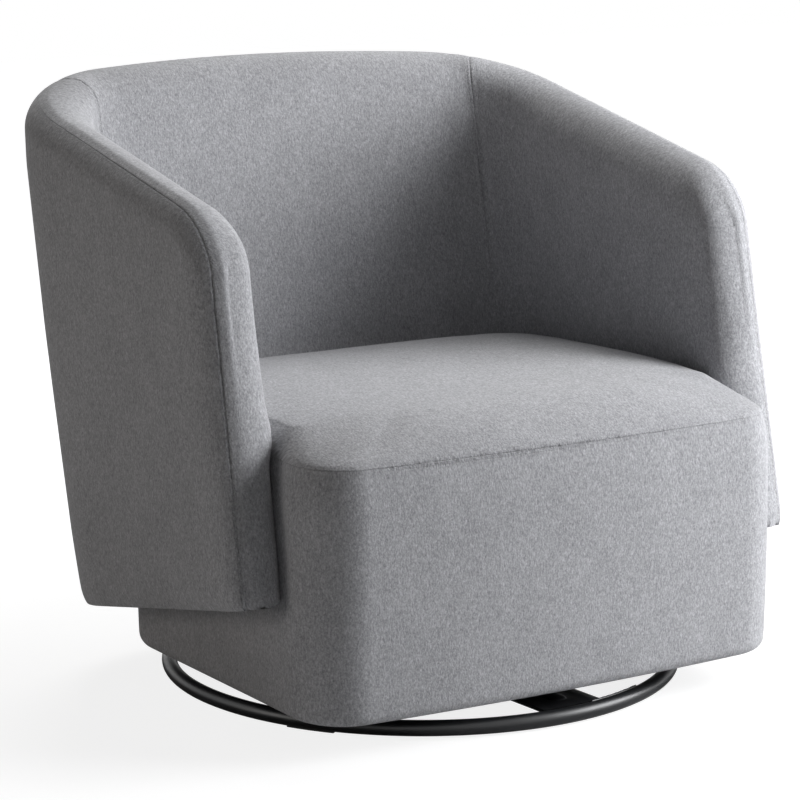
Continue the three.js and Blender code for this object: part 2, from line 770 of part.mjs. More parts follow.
function swivelPlate(size, z, towards, hole, bolts) {
  const sheet = roundedPlate(size, plateCornerRadius, z, swivelPlateThickness);
  const faceZ = towards > 0 ? z + swivelPlateThickness : z;
  const through = [z - overrun, z + swivelPlateThickness + overrun];
  const holes = bolts.map(([x, y, radius]) => zRod(radius + fit, x, y, ...through));
  return cut(join(sheet, race(faceZ, towards)), zRod(hole, 0, 0, ...through, 24), ...holes);
}

const corners = (x, y) => [[x, y], [-x, y], [-x, -y], [x, -y]];
const plateBolts = () => corners(plateBoltSpacingX / 2, plateBoltSpacingY / 2);
const plateScrews = () => corners(screwPlace, screwPlace);

function ballCage() {
  const half = cageThickness / 2;
  const inner = ballCircle - raceWidth / 2;
  const outer = ballCircle + raceWidth / 2;
  const ring = turned([
    new THREE.Vector2(inner, ballZ - half), new THREE.Vector2(outer, ballZ - half),
    new THREE.Vector2(outer, ballZ + half), new THREE.Vector2(inner, ballZ + half),
    new THREE.Vector2(inner, ballZ - half),
  ], 30);
  const balls = spread(0, Math.PI * 2, ballCount).slice(1).map((angle) =>
    new THREE.SphereGeometry(ballRadius, 8, 6).rotateX(Math.PI / 2)
      .translate(ballCircle * Math.cos(angle), ballCircle * Math.sin(angle), ballZ));
  return join(ring, ...balls);
}

function pivotRivet() {
  const bottom = lowerPlateZ - fit;
  const top = upperPlateZ + swivelPlateThickness + fit;
  const bore = rivetRadius - rivetWall;
  const head = rivetRadius + rivetFlange;
  return turned([
    new THREE.Vector2(bore, bottom - rivetHead), new THREE.Vector2(head, bottom - rivetHead),
    new THREE.Vector2(head, bottom), new THREE.Vector2(rivetRadius, bottom),
    new THREE.Vector2(rivetRadius, top), new THREE.Vector2(head, top),
    new THREE.Vector2(head, top + rivetHead), new THREE.Vector2(bore, top + rivetHead),
    new THREE.Vector2(bore, bottom - rivetHead),
  ], 24);
}

function plateBolt(x, y) {
  const seat = lowerPlateTopZ + fit;
  return join(
    zRod(boltHeadRadius * 0.75, x, y, seat, seat + boltHeadHeight),
    zRod(boltRadius, x, y, barTopZ - barThickness - boltHeadHeight / 2, seat + boltHeadHeight / 2));
}

// Cross bar: a flat strap coped to the ring's tube, stiffened by a pressed bead on either side of the
// swivel plate, hollow underneath as a pressing is
function ribBead(radius, height, z) {
  const start = lowerPlateSize / 2 + ribEndGap / 2;
  const end = ringRadius - ribEndGap;
  return new THREE.CapsuleGeometry(radius, end - start - ribWidth, 3, 12)
    .scale(1, 1, height / radius).translate(0, -(start + end) / 2, z);
}

function crossBar() {
  const bottom = barTopZ - barThickness;
  const strap = overlapOf(
    block(-barWidth / 2, barWidth / 2, -ringRadius, ringRadius, bottom, barTopZ),
    zRod(ringRadius, 0, 0, bottom - overrun, barTopZ + overrun, 96));
  const bead = ribBead(ribWidth / 2, ribHeight, barTopZ);
  const hollow = ribBead(ribWidth / 2 - barThickness / 2, ribHeight, bottom);
  const turnedBead = (g) => g.clone().rotateZ(Math.PI);
  const holes = plateBolts().map(([x, y]) => zRod(boltRadius + fit, x, y, bottom - overrun, barTopZ + overrun));
  const rivetHole = zRod(rivetRadius + rivetFlange + fit * 2, 0, 0, bottom - overrun, barTopZ + overrun, 24);
  const solid = join(strap, bead, turnedBead(bead));
  return cut(solid, hollow, turnedBead(hollow), ringTube(ringRadius, tubeRadius + fit, ringZ), rivetHole, ...holes);
}

// Glides: short pads under the ring, dished on top to the tube
function floorGlide(centre) {
  const ends = [centre - glideSpan / 2, centre + glideSpan / 2];
  const pad = loft(spread(...ends, 4).map((angle) => {
    const at = (radius, z) => new THREE.Vector3(radius * Math.cos(angle), radius * Math.sin(angle), z);
    const [inner, outer] = [ringRadius - glideWidth / 2, ringRadius + glideWidth / 2];
    return [at(inner, 0), at(outer, 0), at(outer, ringZ - tubeRadius / 2), at(inner, ringZ - tubeRadius / 2)];
  }));
  return cut(pad, ringTube(ringRadius, tubeRadius + fit, ringZ));
}

// Base
addMesh(base, 'base_ring', ringTube(ringRadius, tubeRadius, ringZ), blackSteel);
addMesh(base, 'cross_bar', crossBar(), blackSteel);
const glideNames = ['rear', 'left', 'right'];
for (let i = 0; i < glideCount; i += 1) {
  const angle = (i / glideCount) * Math.PI * 2 + Math.PI / 2;
  addMesh(base, `floor_glide_${glideNames[i]}`, floorGlide(angle), blackPlastic);
}
addMesh(base, 'swivel_plate_lower', swivelPlate(
  lowerPlateSize, lowerPlateZ, 1, rivetRadius + softFit,
  plateBolts().map(([x, y]) => [x, y, boltRadius])), zincSteel);
plateBolts().forEach(([x, y], i) => addMesh(base, `plate_bolt_${i + 1}`, plateBolt(x, y), zincSteel));
addMesh(base, 'ball_cage', ballCage(), zincSteel);

// Seat
addMesh(turning, 'swivel_plate_upper', swivelPlate(
  upperPlateSize, upperPlateZ, -1, rivetRadius + fit,
  plateScrews().map(([x, y]) => [x, y, screwRadius])), zincSteel);
addMesh(turning, 'pivot_rivet', pivotRivet(), zincSteel);
plateScrews().forEach(([x, y], i) => addMesh(turning, `plate_screw_${i + 1}`, plateScrew(x, y), zincSteel));
addMesh(turning, 'mount_slat_rear', mountSlat(slatY), plywood);
addMesh(turning, 'mount_slat_front', mountSlat(-slatY), plywood);
Object.entries(seatFramePieces()).forEach(([name, geometry]) => addMesh(turning, name, geometry, plywood));
spread(-springX, springX, springCount - 1).forEach((x, i) => {
  addMesh(turning, `sinuous_spring_${i + 1}`, sinuousSpring(x), zincSteel);
});
addMesh(turning, 'spring_felt', blockPrism(borderThickness + softFit, feltZ, feltZ + feltThickness), darkCloth);
addMesh(turning, 'dust_cover', dustCover(), darkCloth);
Object.entries(borderPieces()).forEach(([name, geometry]) => addMesh(turning, name, geometry, cloth));
addMesh(turning, 'seat_cushion', seatCushion(), cloth);

// Shell
addMesh(shell, 'arm_pad_right', armPad(), cloth);
addMesh(shell, 'arm_pad_left', mirrored(armPad()), cloth);
addMesh(shell, 'back_pad', backPad(), cloth);
addMesh(shell, 'outer_arm_panel_right', outerArmPanel(), cloth);
addMesh(shell, 'outer_arm_panel_left', mirrored(outerArmPanel()), cloth);
addMesh(shell, 'outer_back_panel', outerBackPanel(), cloth);
addMesh(shell, 'arm_frame_right', armFrame(), plywood);
addMesh(shell, 'arm_frame_left', mirrored(armFrame()), plywood);
addMesh(shell, 'back_top_rail', backTopRail(), plywood);
addMesh(shell, 'back_foot_rail', backFootRail(), plywood);
addMesh(shell, 'back_post_middle_right', middlePost(), plywood);
addMesh(shell, 'back_post_middle_left', mirrored(middlePost()), plywood);
addMesh(shell, 'back_post_corner_right', cornerPostPiece(), plywood);
addMesh(shell, 'back_post_corner_left', mirrored(cornerPostPiece()), plywood);
['lower', 'upper'].forEach((name, i) => {
  addMesh(shell, `back_strap_${name}`, backStrap((i + 1) / 3), darkCloth);
});
armBoltVs.forEach((v, i) => {
  const place = ['front', 'rear'][i];
  addMesh(shell, `arm_bolt_${place}_right`, bolt(armBoltSpan(v)), zincSteel);
  addMesh(shell, `arm_bolt_${place}_left`, bolt(mirroredSpan(armBoltSpan(v))), zincSteel);
});
addMesh(shell, 'back_bolt_right', bolt(backBoltSpan()), zincSteel);
addMesh(shell, 'back_bolt_left', bolt(mirroredSpan(backBoltSpan())), zincSteel);

// The chair stands with the middle of its own outline over the origin
chair.updateMatrixWorld(true);
const bounds = new THREE.Box3().setFromObject(chair, true);
chair.position.y = -(bounds.min.y + bounds.max.y) / 2;

export default chair;
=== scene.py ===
import math

import bmesh
import bpy
import numpy as np
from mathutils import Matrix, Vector


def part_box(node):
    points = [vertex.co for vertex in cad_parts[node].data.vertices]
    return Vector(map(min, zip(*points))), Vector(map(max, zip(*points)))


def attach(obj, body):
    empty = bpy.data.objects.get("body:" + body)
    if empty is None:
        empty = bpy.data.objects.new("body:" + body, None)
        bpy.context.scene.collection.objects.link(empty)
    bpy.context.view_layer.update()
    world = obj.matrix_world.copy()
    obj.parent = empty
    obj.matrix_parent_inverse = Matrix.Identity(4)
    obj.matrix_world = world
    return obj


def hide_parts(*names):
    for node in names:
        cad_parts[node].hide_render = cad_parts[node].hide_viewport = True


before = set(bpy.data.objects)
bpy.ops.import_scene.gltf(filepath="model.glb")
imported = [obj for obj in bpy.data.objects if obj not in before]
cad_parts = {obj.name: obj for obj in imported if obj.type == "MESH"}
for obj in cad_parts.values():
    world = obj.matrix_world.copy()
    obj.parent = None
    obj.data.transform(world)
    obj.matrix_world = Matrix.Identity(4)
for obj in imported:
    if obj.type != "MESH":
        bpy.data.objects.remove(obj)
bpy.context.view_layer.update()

scene = bpy.context.scene
scene.view_settings.view_transform = "Standard"


# Photographer's side: the camera stands 3.8 m off with a long lens, 32 degrees round towards the left
# arm and 11 degrees up. Two soft boxes on the right are the window, one hangs overhead and one behind,
# a weak one glows on the left, and white paper lies below.
camera_data = bpy.data.cameras.new("camera")
camera_data.lens, camera_data.sensor_width = 138.6, 36.0
camera = bpy.data.objects.new("camera", camera_data)
scene.collection.objects.link(camera)
scene.camera = camera
camera.location = (-2.0091, -3.1669, 1.0692)
looked_at = Vector((-0.0299, -0.0527, 0.3359))
camera.rotation_euler = (looked_at - camera.location).to_track_quat("-Z", "Y").to_euler()

chair_middle = Vector((0, 0, 0.35))


def soft_box(name, place, width, height, power, colour=(1, 1, 1)):
    """A lamp with a wide face, turned towards the middle of the chair."""
    lamp = bpy.data.lights.new(name, "AREA")
    lamp.shape, lamp.size, lamp.size_y = "RECTANGLE", width, height
    lamp.energy, lamp.color = power, colour
    holder = bpy.data.objects.new(name, lamp)
    scene.collection.objects.link(holder)
    holder.location = place
    holder.rotation_euler = (chair_middle - Vector(place)).to_track_quat("-Z", "Y").to_euler()


soft_box("window", (1.37, -0.96, 1.02), 1.0, 1.0, 16, (0.96, 0.975, 1.0))
soft_box("far_window", (2.03, -1.44, 1.11), 1.6, 1.3, 60, (0.97, 0.98, 1.0))
soft_box("skylight", (0.98, 0.32, 3.17), 1.4, 1.4, 23)
soft_box("rear_window", (1.06, 1.84, 2.47), 1.4, 1.4, 40)
soft_box("wall_glow", (-3.41, 0.3, 1.08), 1.4, 1.4, 14, (1.0, 0.95, 0.9))


def new_look(name):
    """A new material, its nodes, its links and its shader."""
    look = bpy.data.materials.new(name)
    look.use_nodes = True
    nodes, links = look.node_tree.nodes, look.node_tree.links
    return look, nodes, links, nodes["Principled BSDF"]


def add(nodes, *kinds):
    return [nodes.new("ShaderNode" + kind) for kind in kinds]


def dial(node, **values):
    """Sets sockets of a node by their names, with _ for a space."""
    for name, value in values.items():
        node.inputs[name.replace("_", " ")].default_value = value


def wire(links, *runs):
    """Joins sockets: from a node, its output, to a node, its input."""
    for source, out, target, into in runs:
        links.new(source.outputs[out], target.inputs[into])


world = bpy.data.worlds.new("room")
world.use_nodes = True
scene.world = world
nodes, links = world.node_tree.nodes, world.node_tree.links
nodes.clear()
ray, seen, through, air, paper, either, room = add(
    nodes, "LightPath", "Math", "Math", "Background", "Background", "MixShader", "OutputWorld")
seen.operation = through.operation = "MAXIMUM"
dial(air, Color=(1.0, 0.965, 0.94, 1), Strength=0.01)
dial(paper, Color=(1, 1, 1, 1))
wire(links, (ray, "Is Camera Ray", seen, 0), (ray, "Is Transmission Ray", seen, 1),
     (seen, 0, through, 0), (ray, "Is Glossy Ray", through, 1), (through, 0, either, 0),
     (air, 0, either, 1), (paper, 0, either, 2), (either, 0, room, "Surface"))

bpy.ops.object.select_all(action="DESELECT")
bpy.ops.mesh.primitive_plane_add(size=16)
floor = bpy.context.object
floor.name = "floor"
floor_look, nodes, links, shade = new_look("white_paper")
nodes.clear()
ray, tone, matt, glow, both, surface = add(
    nodes, "LightPath", "Mix", "BsdfDiffuse", "Emission", "AddShader", "OutputMaterial")
place, far, white, lift = add(nodes, "TexCoord", "VectorMath", "MapRange", "Math")
tone.data_type, far.operation, lift.operation = "RGBA", "LENGTH", "MULTIPLY"
dial(tone, A=(0.6, 0.6, 0.6, 1), B=(0.3, 0.3, 0.3, 1))
dial(white, From_Min=0.5, From_Max=2.0, To_Min=0.84, To_Max=1.0)
wire(links, (ray, "Is Camera Ray", tone, "Factor"), (place, "Object", far, 0),
     (far, "Value", white, "Value"), (white, "Result", lift, 1), (ray, "Is Camera Ray", lift, 0),
     (lift, 0, glow, "Strength"), (tone, "Result", matt, "Color"), (matt, 0, both, 0),
     (glow, 0, both, 1), (both, 0, surface, "Surface"))
floor.data.materials.append(floor_look)


# Floor ring and cross bar: steel tube bent to a circle and butt welded, with a flat strap coped into
# it, stiffened by a pressed bead each side of the swivel. Satin black powder coat with a little
# orange peel.
black, nodes, links, shade = new_look("black_powder_coat")
dial(shade, Base_Color=(0.013, 0.0135, 0.015, 1), Specular_IOR_Level=0.55)
place, peel, wear, rough, bump = add(nodes, "TexCoord", "TexNoise", "TexNoise", "MapRange", "Bump")
dial(peel, Scale=900)
dial(wear, Scale=24)
dial(rough, To_Min=0.3, To_Max=0.46)
dial(bump, Strength=0.18, Distance=0.0003)
wire(links, (place, "Object", peel, "Vector"), (place, "Object", wear, "Vector"),
     (wear, "Fac", rough, "Value"), (rough, "Result", shade, "Roughness"),
     (peel, "Fac", bump, "Height"), (bump, "Normal", shade, "Normal"))


def pick(*pieces):
    """Selects these pieces and nothing else. The first becomes the active one."""
    bpy.ops.object.select_all(action="DESELECT")
    for piece in pieces:
        piece.select_set(True)
    bpy.context.view_layer.objects.active = pieces[0]


def dress(piece, body, look, slot_name, *stands_for, angle=40):
    """Finishes a piece: material, place in its mesh, smooth shading, body, nodes it replaces; slot_name
    is not used.
    """
    piece.data.materials.clear()
    piece.data.materials.append(look)
    pick(piece)
    bpy.ops.object.transform_apply(location=True, rotation=True, scale=True)
    bpy.ops.object.shade_smooth_by_angle(angle=math.radians(angle))
    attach(piece, body)
    if stands_for:
        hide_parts(*stands_for)


ring_low, ring_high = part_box("base_ring")
axis_y = (ring_low.y + ring_high.y) / 2
tube_radius = (ring_high.z - ring_low.z) / 2 * 1.034
ring_radius = (ring_high.x - ring_low.x) / 2 - (ring_high.z - ring_low.z) / 2 + 0.002
ring_z = (ring_low.z + ring_high.z) / 2
bpy.ops.object.select_all(action="DESELECT")
bpy.ops.mesh.primitive_torus_add(
    location=(0, axis_y, ring_z), major_radius=ring_radius, minor_radius=tube_radius,
    major_segments=240, minor_segments=32)
ring = bpy.context.object
ring.name = "floor_ring_tube"
dress(ring, "base", black, "black_powder_coat", "base_ring")


def cad_copy(name, node_name):
    """A new object from a copy of a CAD node, with its loose triangles merged."""
    bm = bmesh.new()
    bm.from_mesh(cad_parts[node_name].data)
    bmesh.ops.remove_doubles(bm, verts=bm.verts, dist=1e-6)
    mesh = bpy.data.meshes.new(name)
    bm.to_mesh(mesh)
    bm.free()
    piece = bpy.data.objects.new(name, mesh)
    scene.collection.objects.link(piece)
    return piece


def settle(piece, kind, **settings):
    """Adds one modifier with its settings and applies it."""
    modifier = piece.modifiers.new(kind.lower(), kind)
    for key, value in settings.items():
        setattr(modifier, key, value)
    pick(piece)
    bpy.ops.object.modifier_apply(modifier=modifier.name)


def break_edges(piece, width):
    """Takes the sharpness off a piece's edges."""
    settle(piece, "BEVEL", width=width, segments=2, limit_method="ANGLE", angle_limit=math.radians(35))


bar = cad_copy("cross_bar_pressing", "cross_bar")
break_edges(bar, 0.0009)
dress(bar, "base", black, "black_powder_coat", "cross_bar", angle=35)


def weld(name, start, out, thick, centre, axis, angle, steps):
    """A bead of weld metal: a small round section spun along the joint, rippled by the welder."""
    bpy.ops.object.select_all(action="DESELECT")
    turn = Vector((0, 0, 1)).rotation_difference(Vector(axis).cross(Vector(out)))
    full_circle = angle == 2 * math.pi
    bpy.ops.mesh.primitive_circle_add(
        vertices=10, radius=thick, fill_type="NOTHING" if full_circle else "NGON", location=start,
        rotation=turn.to_euler())
    bead = bpy.context.object
    bead.name = bead.data.name = name
    bpy.ops.object.transform_apply(location=True, rotation=True)
    bpy.ops.object.mode_set(mode="EDIT")
    bpy.ops.mesh.select_all(action="SELECT")
    bpy.ops.mesh.spin(steps=steps, angle=angle, center=centre, axis=axis)
    bpy.ops.mesh.select_all(action="SELECT")
    bpy.ops.mesh.remove_doubles(threshold=1e-5)
    bpy.ops.mesh.normals_make_consistent(inside=False)
    bpy.ops.object.mode_set(mode="OBJECT")
    ripple = bpy.data.textures.new(name, "CLOUDS")
    ripple.noise_scale = 0.0035
    settle(bead, "DISPLACE", texture=ripple, strength=thick * 0.7, mid_level=0.5)
    dress(bead, "base", black, "black_powder_coat", angle=60)


# A bead runs across each end of the strap, above and below, from one corner of its end to the other.
strap_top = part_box("swivel_plate_lower")[0].z - 0.0003
corner_across, corner_ahead, between_corners = 0.1366, 0.9906, 0.274
bead_thick, bead_sunk = 0.0016, 0.0004
for end, towards in (("front", -1), ("rear", 1)):
    for face, z in (("top", strap_top + bead_sunk), ("under", strap_top - 0.0044)):
        reach = ring_radius - math.sqrt(tube_radius ** 2 - (z - ring_z) ** 2) - bead_sunk
        weld(f"bar_weld_{end}_{face}",
             (corner_across * reach, axis_y + towards * reach * corner_ahead, z),
             (corner_across, towards * corner_ahead, 0), bead_thick,
             (0, axis_y, z), (0, 0, 1), between_corners * towards, 70)

# The ring's own butt weld runs round the tube, a little to one side of the rear.
weld_x = 0.115
across = Vector((weld_x, math.sqrt(ring_radius ** 2 - weld_x ** 2), 0)).normalized()
weld("ring_butt_weld",
     Vector((0, axis_y, ring_z)) + across * (ring_radius + tube_radius * 0.95), across, 0.0011,
     (across.x * ring_radius, axis_y + across.y * ring_radius, ring_z), (across.y, -across.x, 0),
     2 * math.pi, 72)

glide_look, nodes, links, shade = new_look("glide_plastic")
dial(shade, Base_Color=(0.018, 0.018, 0.019, 1))
place, grain, rough = add(nodes, "TexCoord", "TexNoise", "MapRange")
dial(grain, Scale=600)
dial(rough, To_Min=0.5, To_Max=0.75)
wire(links, (place, "Object", grain, "Vector"), (grain, "Fac", rough, "Value"),
     (rough, "Result", shade, "Roughness"))
for side in ("rear", "left", "right"):
    glide = cad_copy(f"glide_{side}", f"floor_glide_{side}")
    break_edges(glide, 0.0003)
    dress(glide, "base", glide_look, "glide_plastic", f"floor_glide_{side}")


# Swivel: two pressed plates with a race each, a cage of balls between them, one hollow rivet through
# the middle. Zinc plated steel, as are the bolts, screws and springs.
def two_tones(ramp, low, high, start=0.0, stop=1.0):
    """Sets the colours at the ends of a ramp, and where they lie."""
    for element, colour, at in zip(ramp.color_ramp.elements, (low, high), (start, stop)):
        element.color, element.position = colour, at


zinc, nodes, links, shade = new_look("zinc_steel")
dial(shade, Metallic=1.0)
place, cloud, ramp, rough = add(nodes, "TexCoord", "TexNoise", "ValToRGB", "MapRange")
dial(cloud, Scale=60, Detail=5)
two_tones(ramp, (0.36, 0.37, 0.39, 1), (0.62, 0.63, 0.62, 1))
dial(rough, To_Min=0.28, To_Max=0.5)
wire(links, (place, "Object", cloud, "Vector"), (cloud, "Fac", ramp, "Fac"),
     (ramp, "Color", shade, "Base Color"), (cloud, "Fac", rough, "Value"),
     (rough, "Result", shade, "Roughness"))


def repaint(look, *starts):
    """Gives every CAD node whose name starts so its material."""
    for name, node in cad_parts.items():
        if name.startswith(starts):
            node.data.materials.clear()
            node.data.materials.append(look)


repaint(zinc, "swivel_plate", "plate_bolt", "ball_cage", "pivot_rivet", "plate_screw", "sinuous",
        "arm_bolt", "back_bolt")


# Frames: boards of plywood sawn to shape, glued and bolted, hidden under the padding. Their faces have
# a soft, long grain. The felt over the springs and the straps behind the back are black backing cloth.
def fibrous(name, roughness, dense, scale, detail, tones, strength, depth):
    """A dull material with a grain or fibres, in two tones and a little raised."""
    look, nodes, links, shade = new_look(name)
    place, turn, grain, ramp, bump = add(nodes, "TexCoord", "Mapping", "TexNoise", "ValToRGB", "Bump")
    dial(turn, Scale=dense)
    dial(grain, Scale=scale, Detail=detail)
    two_tones(ramp, *tones)
    dial(bump, Strength=strength, Distance=depth)
    dial(shade, Roughness=roughness)
    wire(links, (place, "Object", turn, "Vector"), (turn, "Vector", grain, "Vector"),
         (grain, "Fac", ramp, "Fac"), (ramp, "Color", shade, "Base Color"),
         (grain, "Fac", bump, "Height"), (bump, "Normal", shade, "Normal"))
    return look


plywood = fibrous("plywood", 0.62, (60, 60, 5), 1.0, 6,
                  ((0.36, 0.22, 0.11, 1), (0.6, 0.42, 0.24, 1), 0.3, 0.75), 0.3, 0.0004)
repaint(plywood, "mount_slat", "seat_rail", "corner_post", "arm_frame", "back_top", "back_foot",
        "back_post")

felt = fibrous("black_backing_cloth", 0.95, (1, 1, 1), 700, 4,
               ((0.008, 0.008, 0.009, 1), (0.04, 0.04, 0.043, 1)), 0.4, 0.0003)
repaint(felt, "spring_felt", "dust_cover", "back_strap")


# Cover cloth: a heather weave of light and dark grey yarn with a hairy surface. Each covered piece
# holds where it lies on the flat cloth as "weave", and how far it is from its nearest seam as "seam",
# both in metres. Along each seam the colour has a painted highlight, with painted shade beside it.
cloth, nodes, links, shade = new_look("grey_heather_weave")
dial(shade, Roughness=0.92, Specular_IOR_Level=0.25, Sheen_Weight=0.12, Sheen_Roughness=0.5)
flat, away = add(nodes, "Attribute", "Attribute")
flat.attribute_name, away.attribute_name = "weave", "seam"


def yarn(across, along, detail, slant=0.0):
    size, texture = add(nodes, "Mapping", "TexNoise")
    dial(size, Rotation=(0, 0, slant), Scale=(1 / across, 1 / along, 1))
    dial(texture, Scale=1, Detail=detail, Roughness=0.65)
    wire(links, (flat, "Vector", size, "Vector"), (size, "Vector", texture, "Vector"))
    return texture.outputs["Fac"]


def reckon(kind, *values):
    """One step of arithmetic on numbers and outputs of nodes."""
    node = nodes.new("ShaderNodeMath")
    node.operation = kind
    for socket, value in zip(node.inputs, values):
        if isinstance(value, (int, float)):
            socket.default_value = value
        else:
            links.new(value, socket)
    return node.outputs[0]


yarn_wide, seam_paint_reach = 0.0017, 0.006
warp = yarn(yarn_wide, 0.005, 2, 0.05)
fleck = yarn(yarn_wide, 0.0022, 1.5, 0.6)
cloud = yarn(0.045, 0.07, 3)
blend = reckon("MULTIPLY_ADD", warp, 0.55, reckon("MULTIPLY", fleck, 0.45))
blend = reckon("MULTIPLY_ADD", cloud, 0.1, blend)
ramp, line, painted_seam_shading, parts, bump = add(nodes, "ValToRGB", "ValToRGB", "Mix", "SeparateXYZ", "Bump")
two_tones(ramp, (0.215, 0.215, 0.222, 1), (0.62, 0.62, 0.64, 1), 0.33, 0.77)
ramp.color_ramp.elements.new(0.55).color = (0.39, 0.39, 0.405, 1)
# Painted highlight and painted shade: right on a seam the colour is lifted, as if its lip caught the
# light, and just beside it the colour is darkened, as if its groove lay in shade.
two_tones(line, (1.18, 1.18, 1.18, 1), (1, 1, 1, 1), 0.0, 0.75)
line.color_ramp.elements.new(0.22).color = (0.8, 0.8, 0.8, 1)
links.new(blend, ramp.inputs["Fac"])
links.new(reckon("MULTIPLY", away.outputs["Fac"], 1 / seam_paint_reach), line.inputs["Fac"])
painted_seam_shading.data_type, painted_seam_shading.blend_type = "RGBA", "MULTIPLY"
dial(painted_seam_shading, Factor=1.0)
wire(links, (ramp, "Color", painted_seam_shading, "A"), (line, "Color", painted_seam_shading, "B"),
     (painted_seam_shading, "Result", shade, "Base Color"), (flat, "Vector", parts, 0))

turns = 2 * math.pi / yarn_wide
over = reckon("SINE", reckon("MULTIPLY", parts.outputs["X"], turns))
under = reckon("SINE", reckon("MULTIPLY", parts.outputs["Y"], turns))
height = reckon("MULTIPLY_ADD", reckon("MULTIPLY", over, under), 0.1, blend)
links.new(height, bump.inputs["Height"])
dial(bump, Strength=0.55, Distance=0.0006)
place, stitch, gather, near, pucker = add(
    nodes, "TexCoord", "Mapping", "TexNoise", "MapRange", "Bump")
dial(stitch, Scale=(330, 330, 330))
dial(gather, Scale=1, Detail=1)
near.interpolation_type = "SMOOTHSTEP"
dial(near, From_Min=0.009, From_Max=0.0005)
dial(pucker, Strength=0.8, Distance=0.0016)
links.new(reckon("MULTIPLY", gather.outputs["Fac"], near.outputs["Result"]),
          pucker.inputs["Height"])
wire(links, (place, "Object", stitch, "Vector"), (stitch, "Vector", gather, "Vector"),
     (away, "Fac", near, "Value"), (bump, "Normal", pucker, "Normal"),
     (pucker, "Normal", shade, "Normal"))


mm = 0.001


def places(piece):
    spots = np.zeros(len(piece.data.vertices) * 3)
    piece.data.vertices.foreach_get("co", spots)
    return spots.reshape(-1, 3)


def put(piece, spots):
    piece.data.vertices.foreach_set("co", np.ascontiguousarray(spots, dtype=np.float64).ravel())
    piece.data.update()


def skin(name, loops, ends=True):
    """A grid wrapped through closed loops of points in millimetres, with ends or joined end to end."""
    rows, around = len(loops), len(loops[0])
    strips = rows - 1 if ends else rows
    bpy.ops.object.select_all(action="DESELECT")
    bpy.ops.mesh.primitive_grid_add(x_subdivisions=around, y_subdivisions=strips, size=2)
    piece = bpy.context.object
    piece.name = piece.data.name = name
    flat = (places(piece)[:, :2] + 1) / 2
    column, row = np.rint(flat * [around, strips]).astype(int).T
    put(piece, np.array(loops)[row % rows, column % around] * mm)
    note(piece, "thread", (column % around).astype(float))
    bm = bmesh.new()
    bm.from_mesh(piece.data)
    bmesh.ops.remove_doubles(bm, verts=bm.verts, dist=2e-5)
    if ends:
        crease = bm.edges.layers.float.new("crease_edge")
        rim = [edge for edge in bm.edges if edge.is_boundary]
        for edge in rim:
            edge[crease] = 1.0
        caps = bmesh.ops.holes_fill(bm, edges=rim, sides=0)["faces"]
        bmesh.ops.triangulate(bm, faces=caps)
    bmesh.ops.recalc_face_normals(bm, faces=bm.faces)
    bm.to_mesh(piece.data)
    bm.free()
    return piece


def note(piece, name, values):
    """Stores a number, or three, on each point of a piece."""
    values = np.ascontiguousarray(values, dtype=np.float32)
    kind, field = ("FLOAT", "value") if values.ndim == 1 else ("FLOAT_VECTOR", "vector")
    old = piece.data.attributes.get(name)
    if old:
        piece.data.attributes.remove(old)
    piece.data.attributes.new(name, kind, "POINT").data.foreach_set(field, values.ravel())


def noted(piece, name):
    found = piece.data.attributes[name]
    wide, field = (1, "value") if found.data_type == "FLOAT" else (3, "vector")
    values = np.zeros(len(piece.data.vertices) * wide, dtype=np.float32)
    found.data.foreach_get(field, values)
    return values.reshape(-1, wide).astype(float)


def duplicate(piece):
    """A copy of a piece with a mesh of its own."""
    copy = piece.copy()
    copy.data = piece.data.copy()
    scene.collection.objects.link(copy)
    return copy


def stuff(piece, held, most):
    """Presses the stuffing out against the cover as cloth under pressure, but never further than most.
    The foam under the cover evens the small creases out."""
    swelling, evening = 20, 24
    before = places(piece)
    grip = piece.vertex_groups.new(name="held")
    grip.add([int(i) for i in np.nonzero(held)[0]], 1.0, "REPLACE")
    modifier = piece.modifiers.new("cloth", "CLOTH")
    fabric = modifier.settings
    fabric.vertex_group_mass = "held"
    fabric.quality, fabric.mass, fabric.bending_stiffness = 5, 0.25, 2.0
    fabric.tension_stiffness = fabric.compression_stiffness = 12
    fabric.use_pressure, fabric.uniform_pressure_force = True, 4.0
    fabric.effector_weights.gravity = 0
    modifier.point_cache.frame_start, modifier.point_cache.frame_end = 1, swelling
    for step in range(1, swelling + 1):
        scene.frame_set(step)
    pick(piece)
    bpy.ops.object.modifier_apply(modifier=modifier.name)
    scene.frame_set(1)
    moved = places(piece) - before
    far = np.linalg.norm(moved, axis=1, keepdims=True)
    moved *= most * np.tanh(far / most) / np.maximum(far, 1e-9)
    ends = np.zeros(len(piece.data.edges) * 2, dtype=np.int32)
    piece.data.edges.foreach_get("vertices", ends)
    one, other = ends.reshape(-1, 2).T
    count = np.bincount(ends, minlength=len(moved))[:, None]
    for step in range(evening):
        near = np.column_stack([
            np.bincount(one, moved[other, axis], len(moved))
            + np.bincount(other, moved[one, axis], len(moved)) for axis in range(3)])
        moved = np.where(held[:, None], 0, 0.4 * moved + 0.6 * near / count)
    put(piece, before + moved)
    piece.vertex_groups.clear()


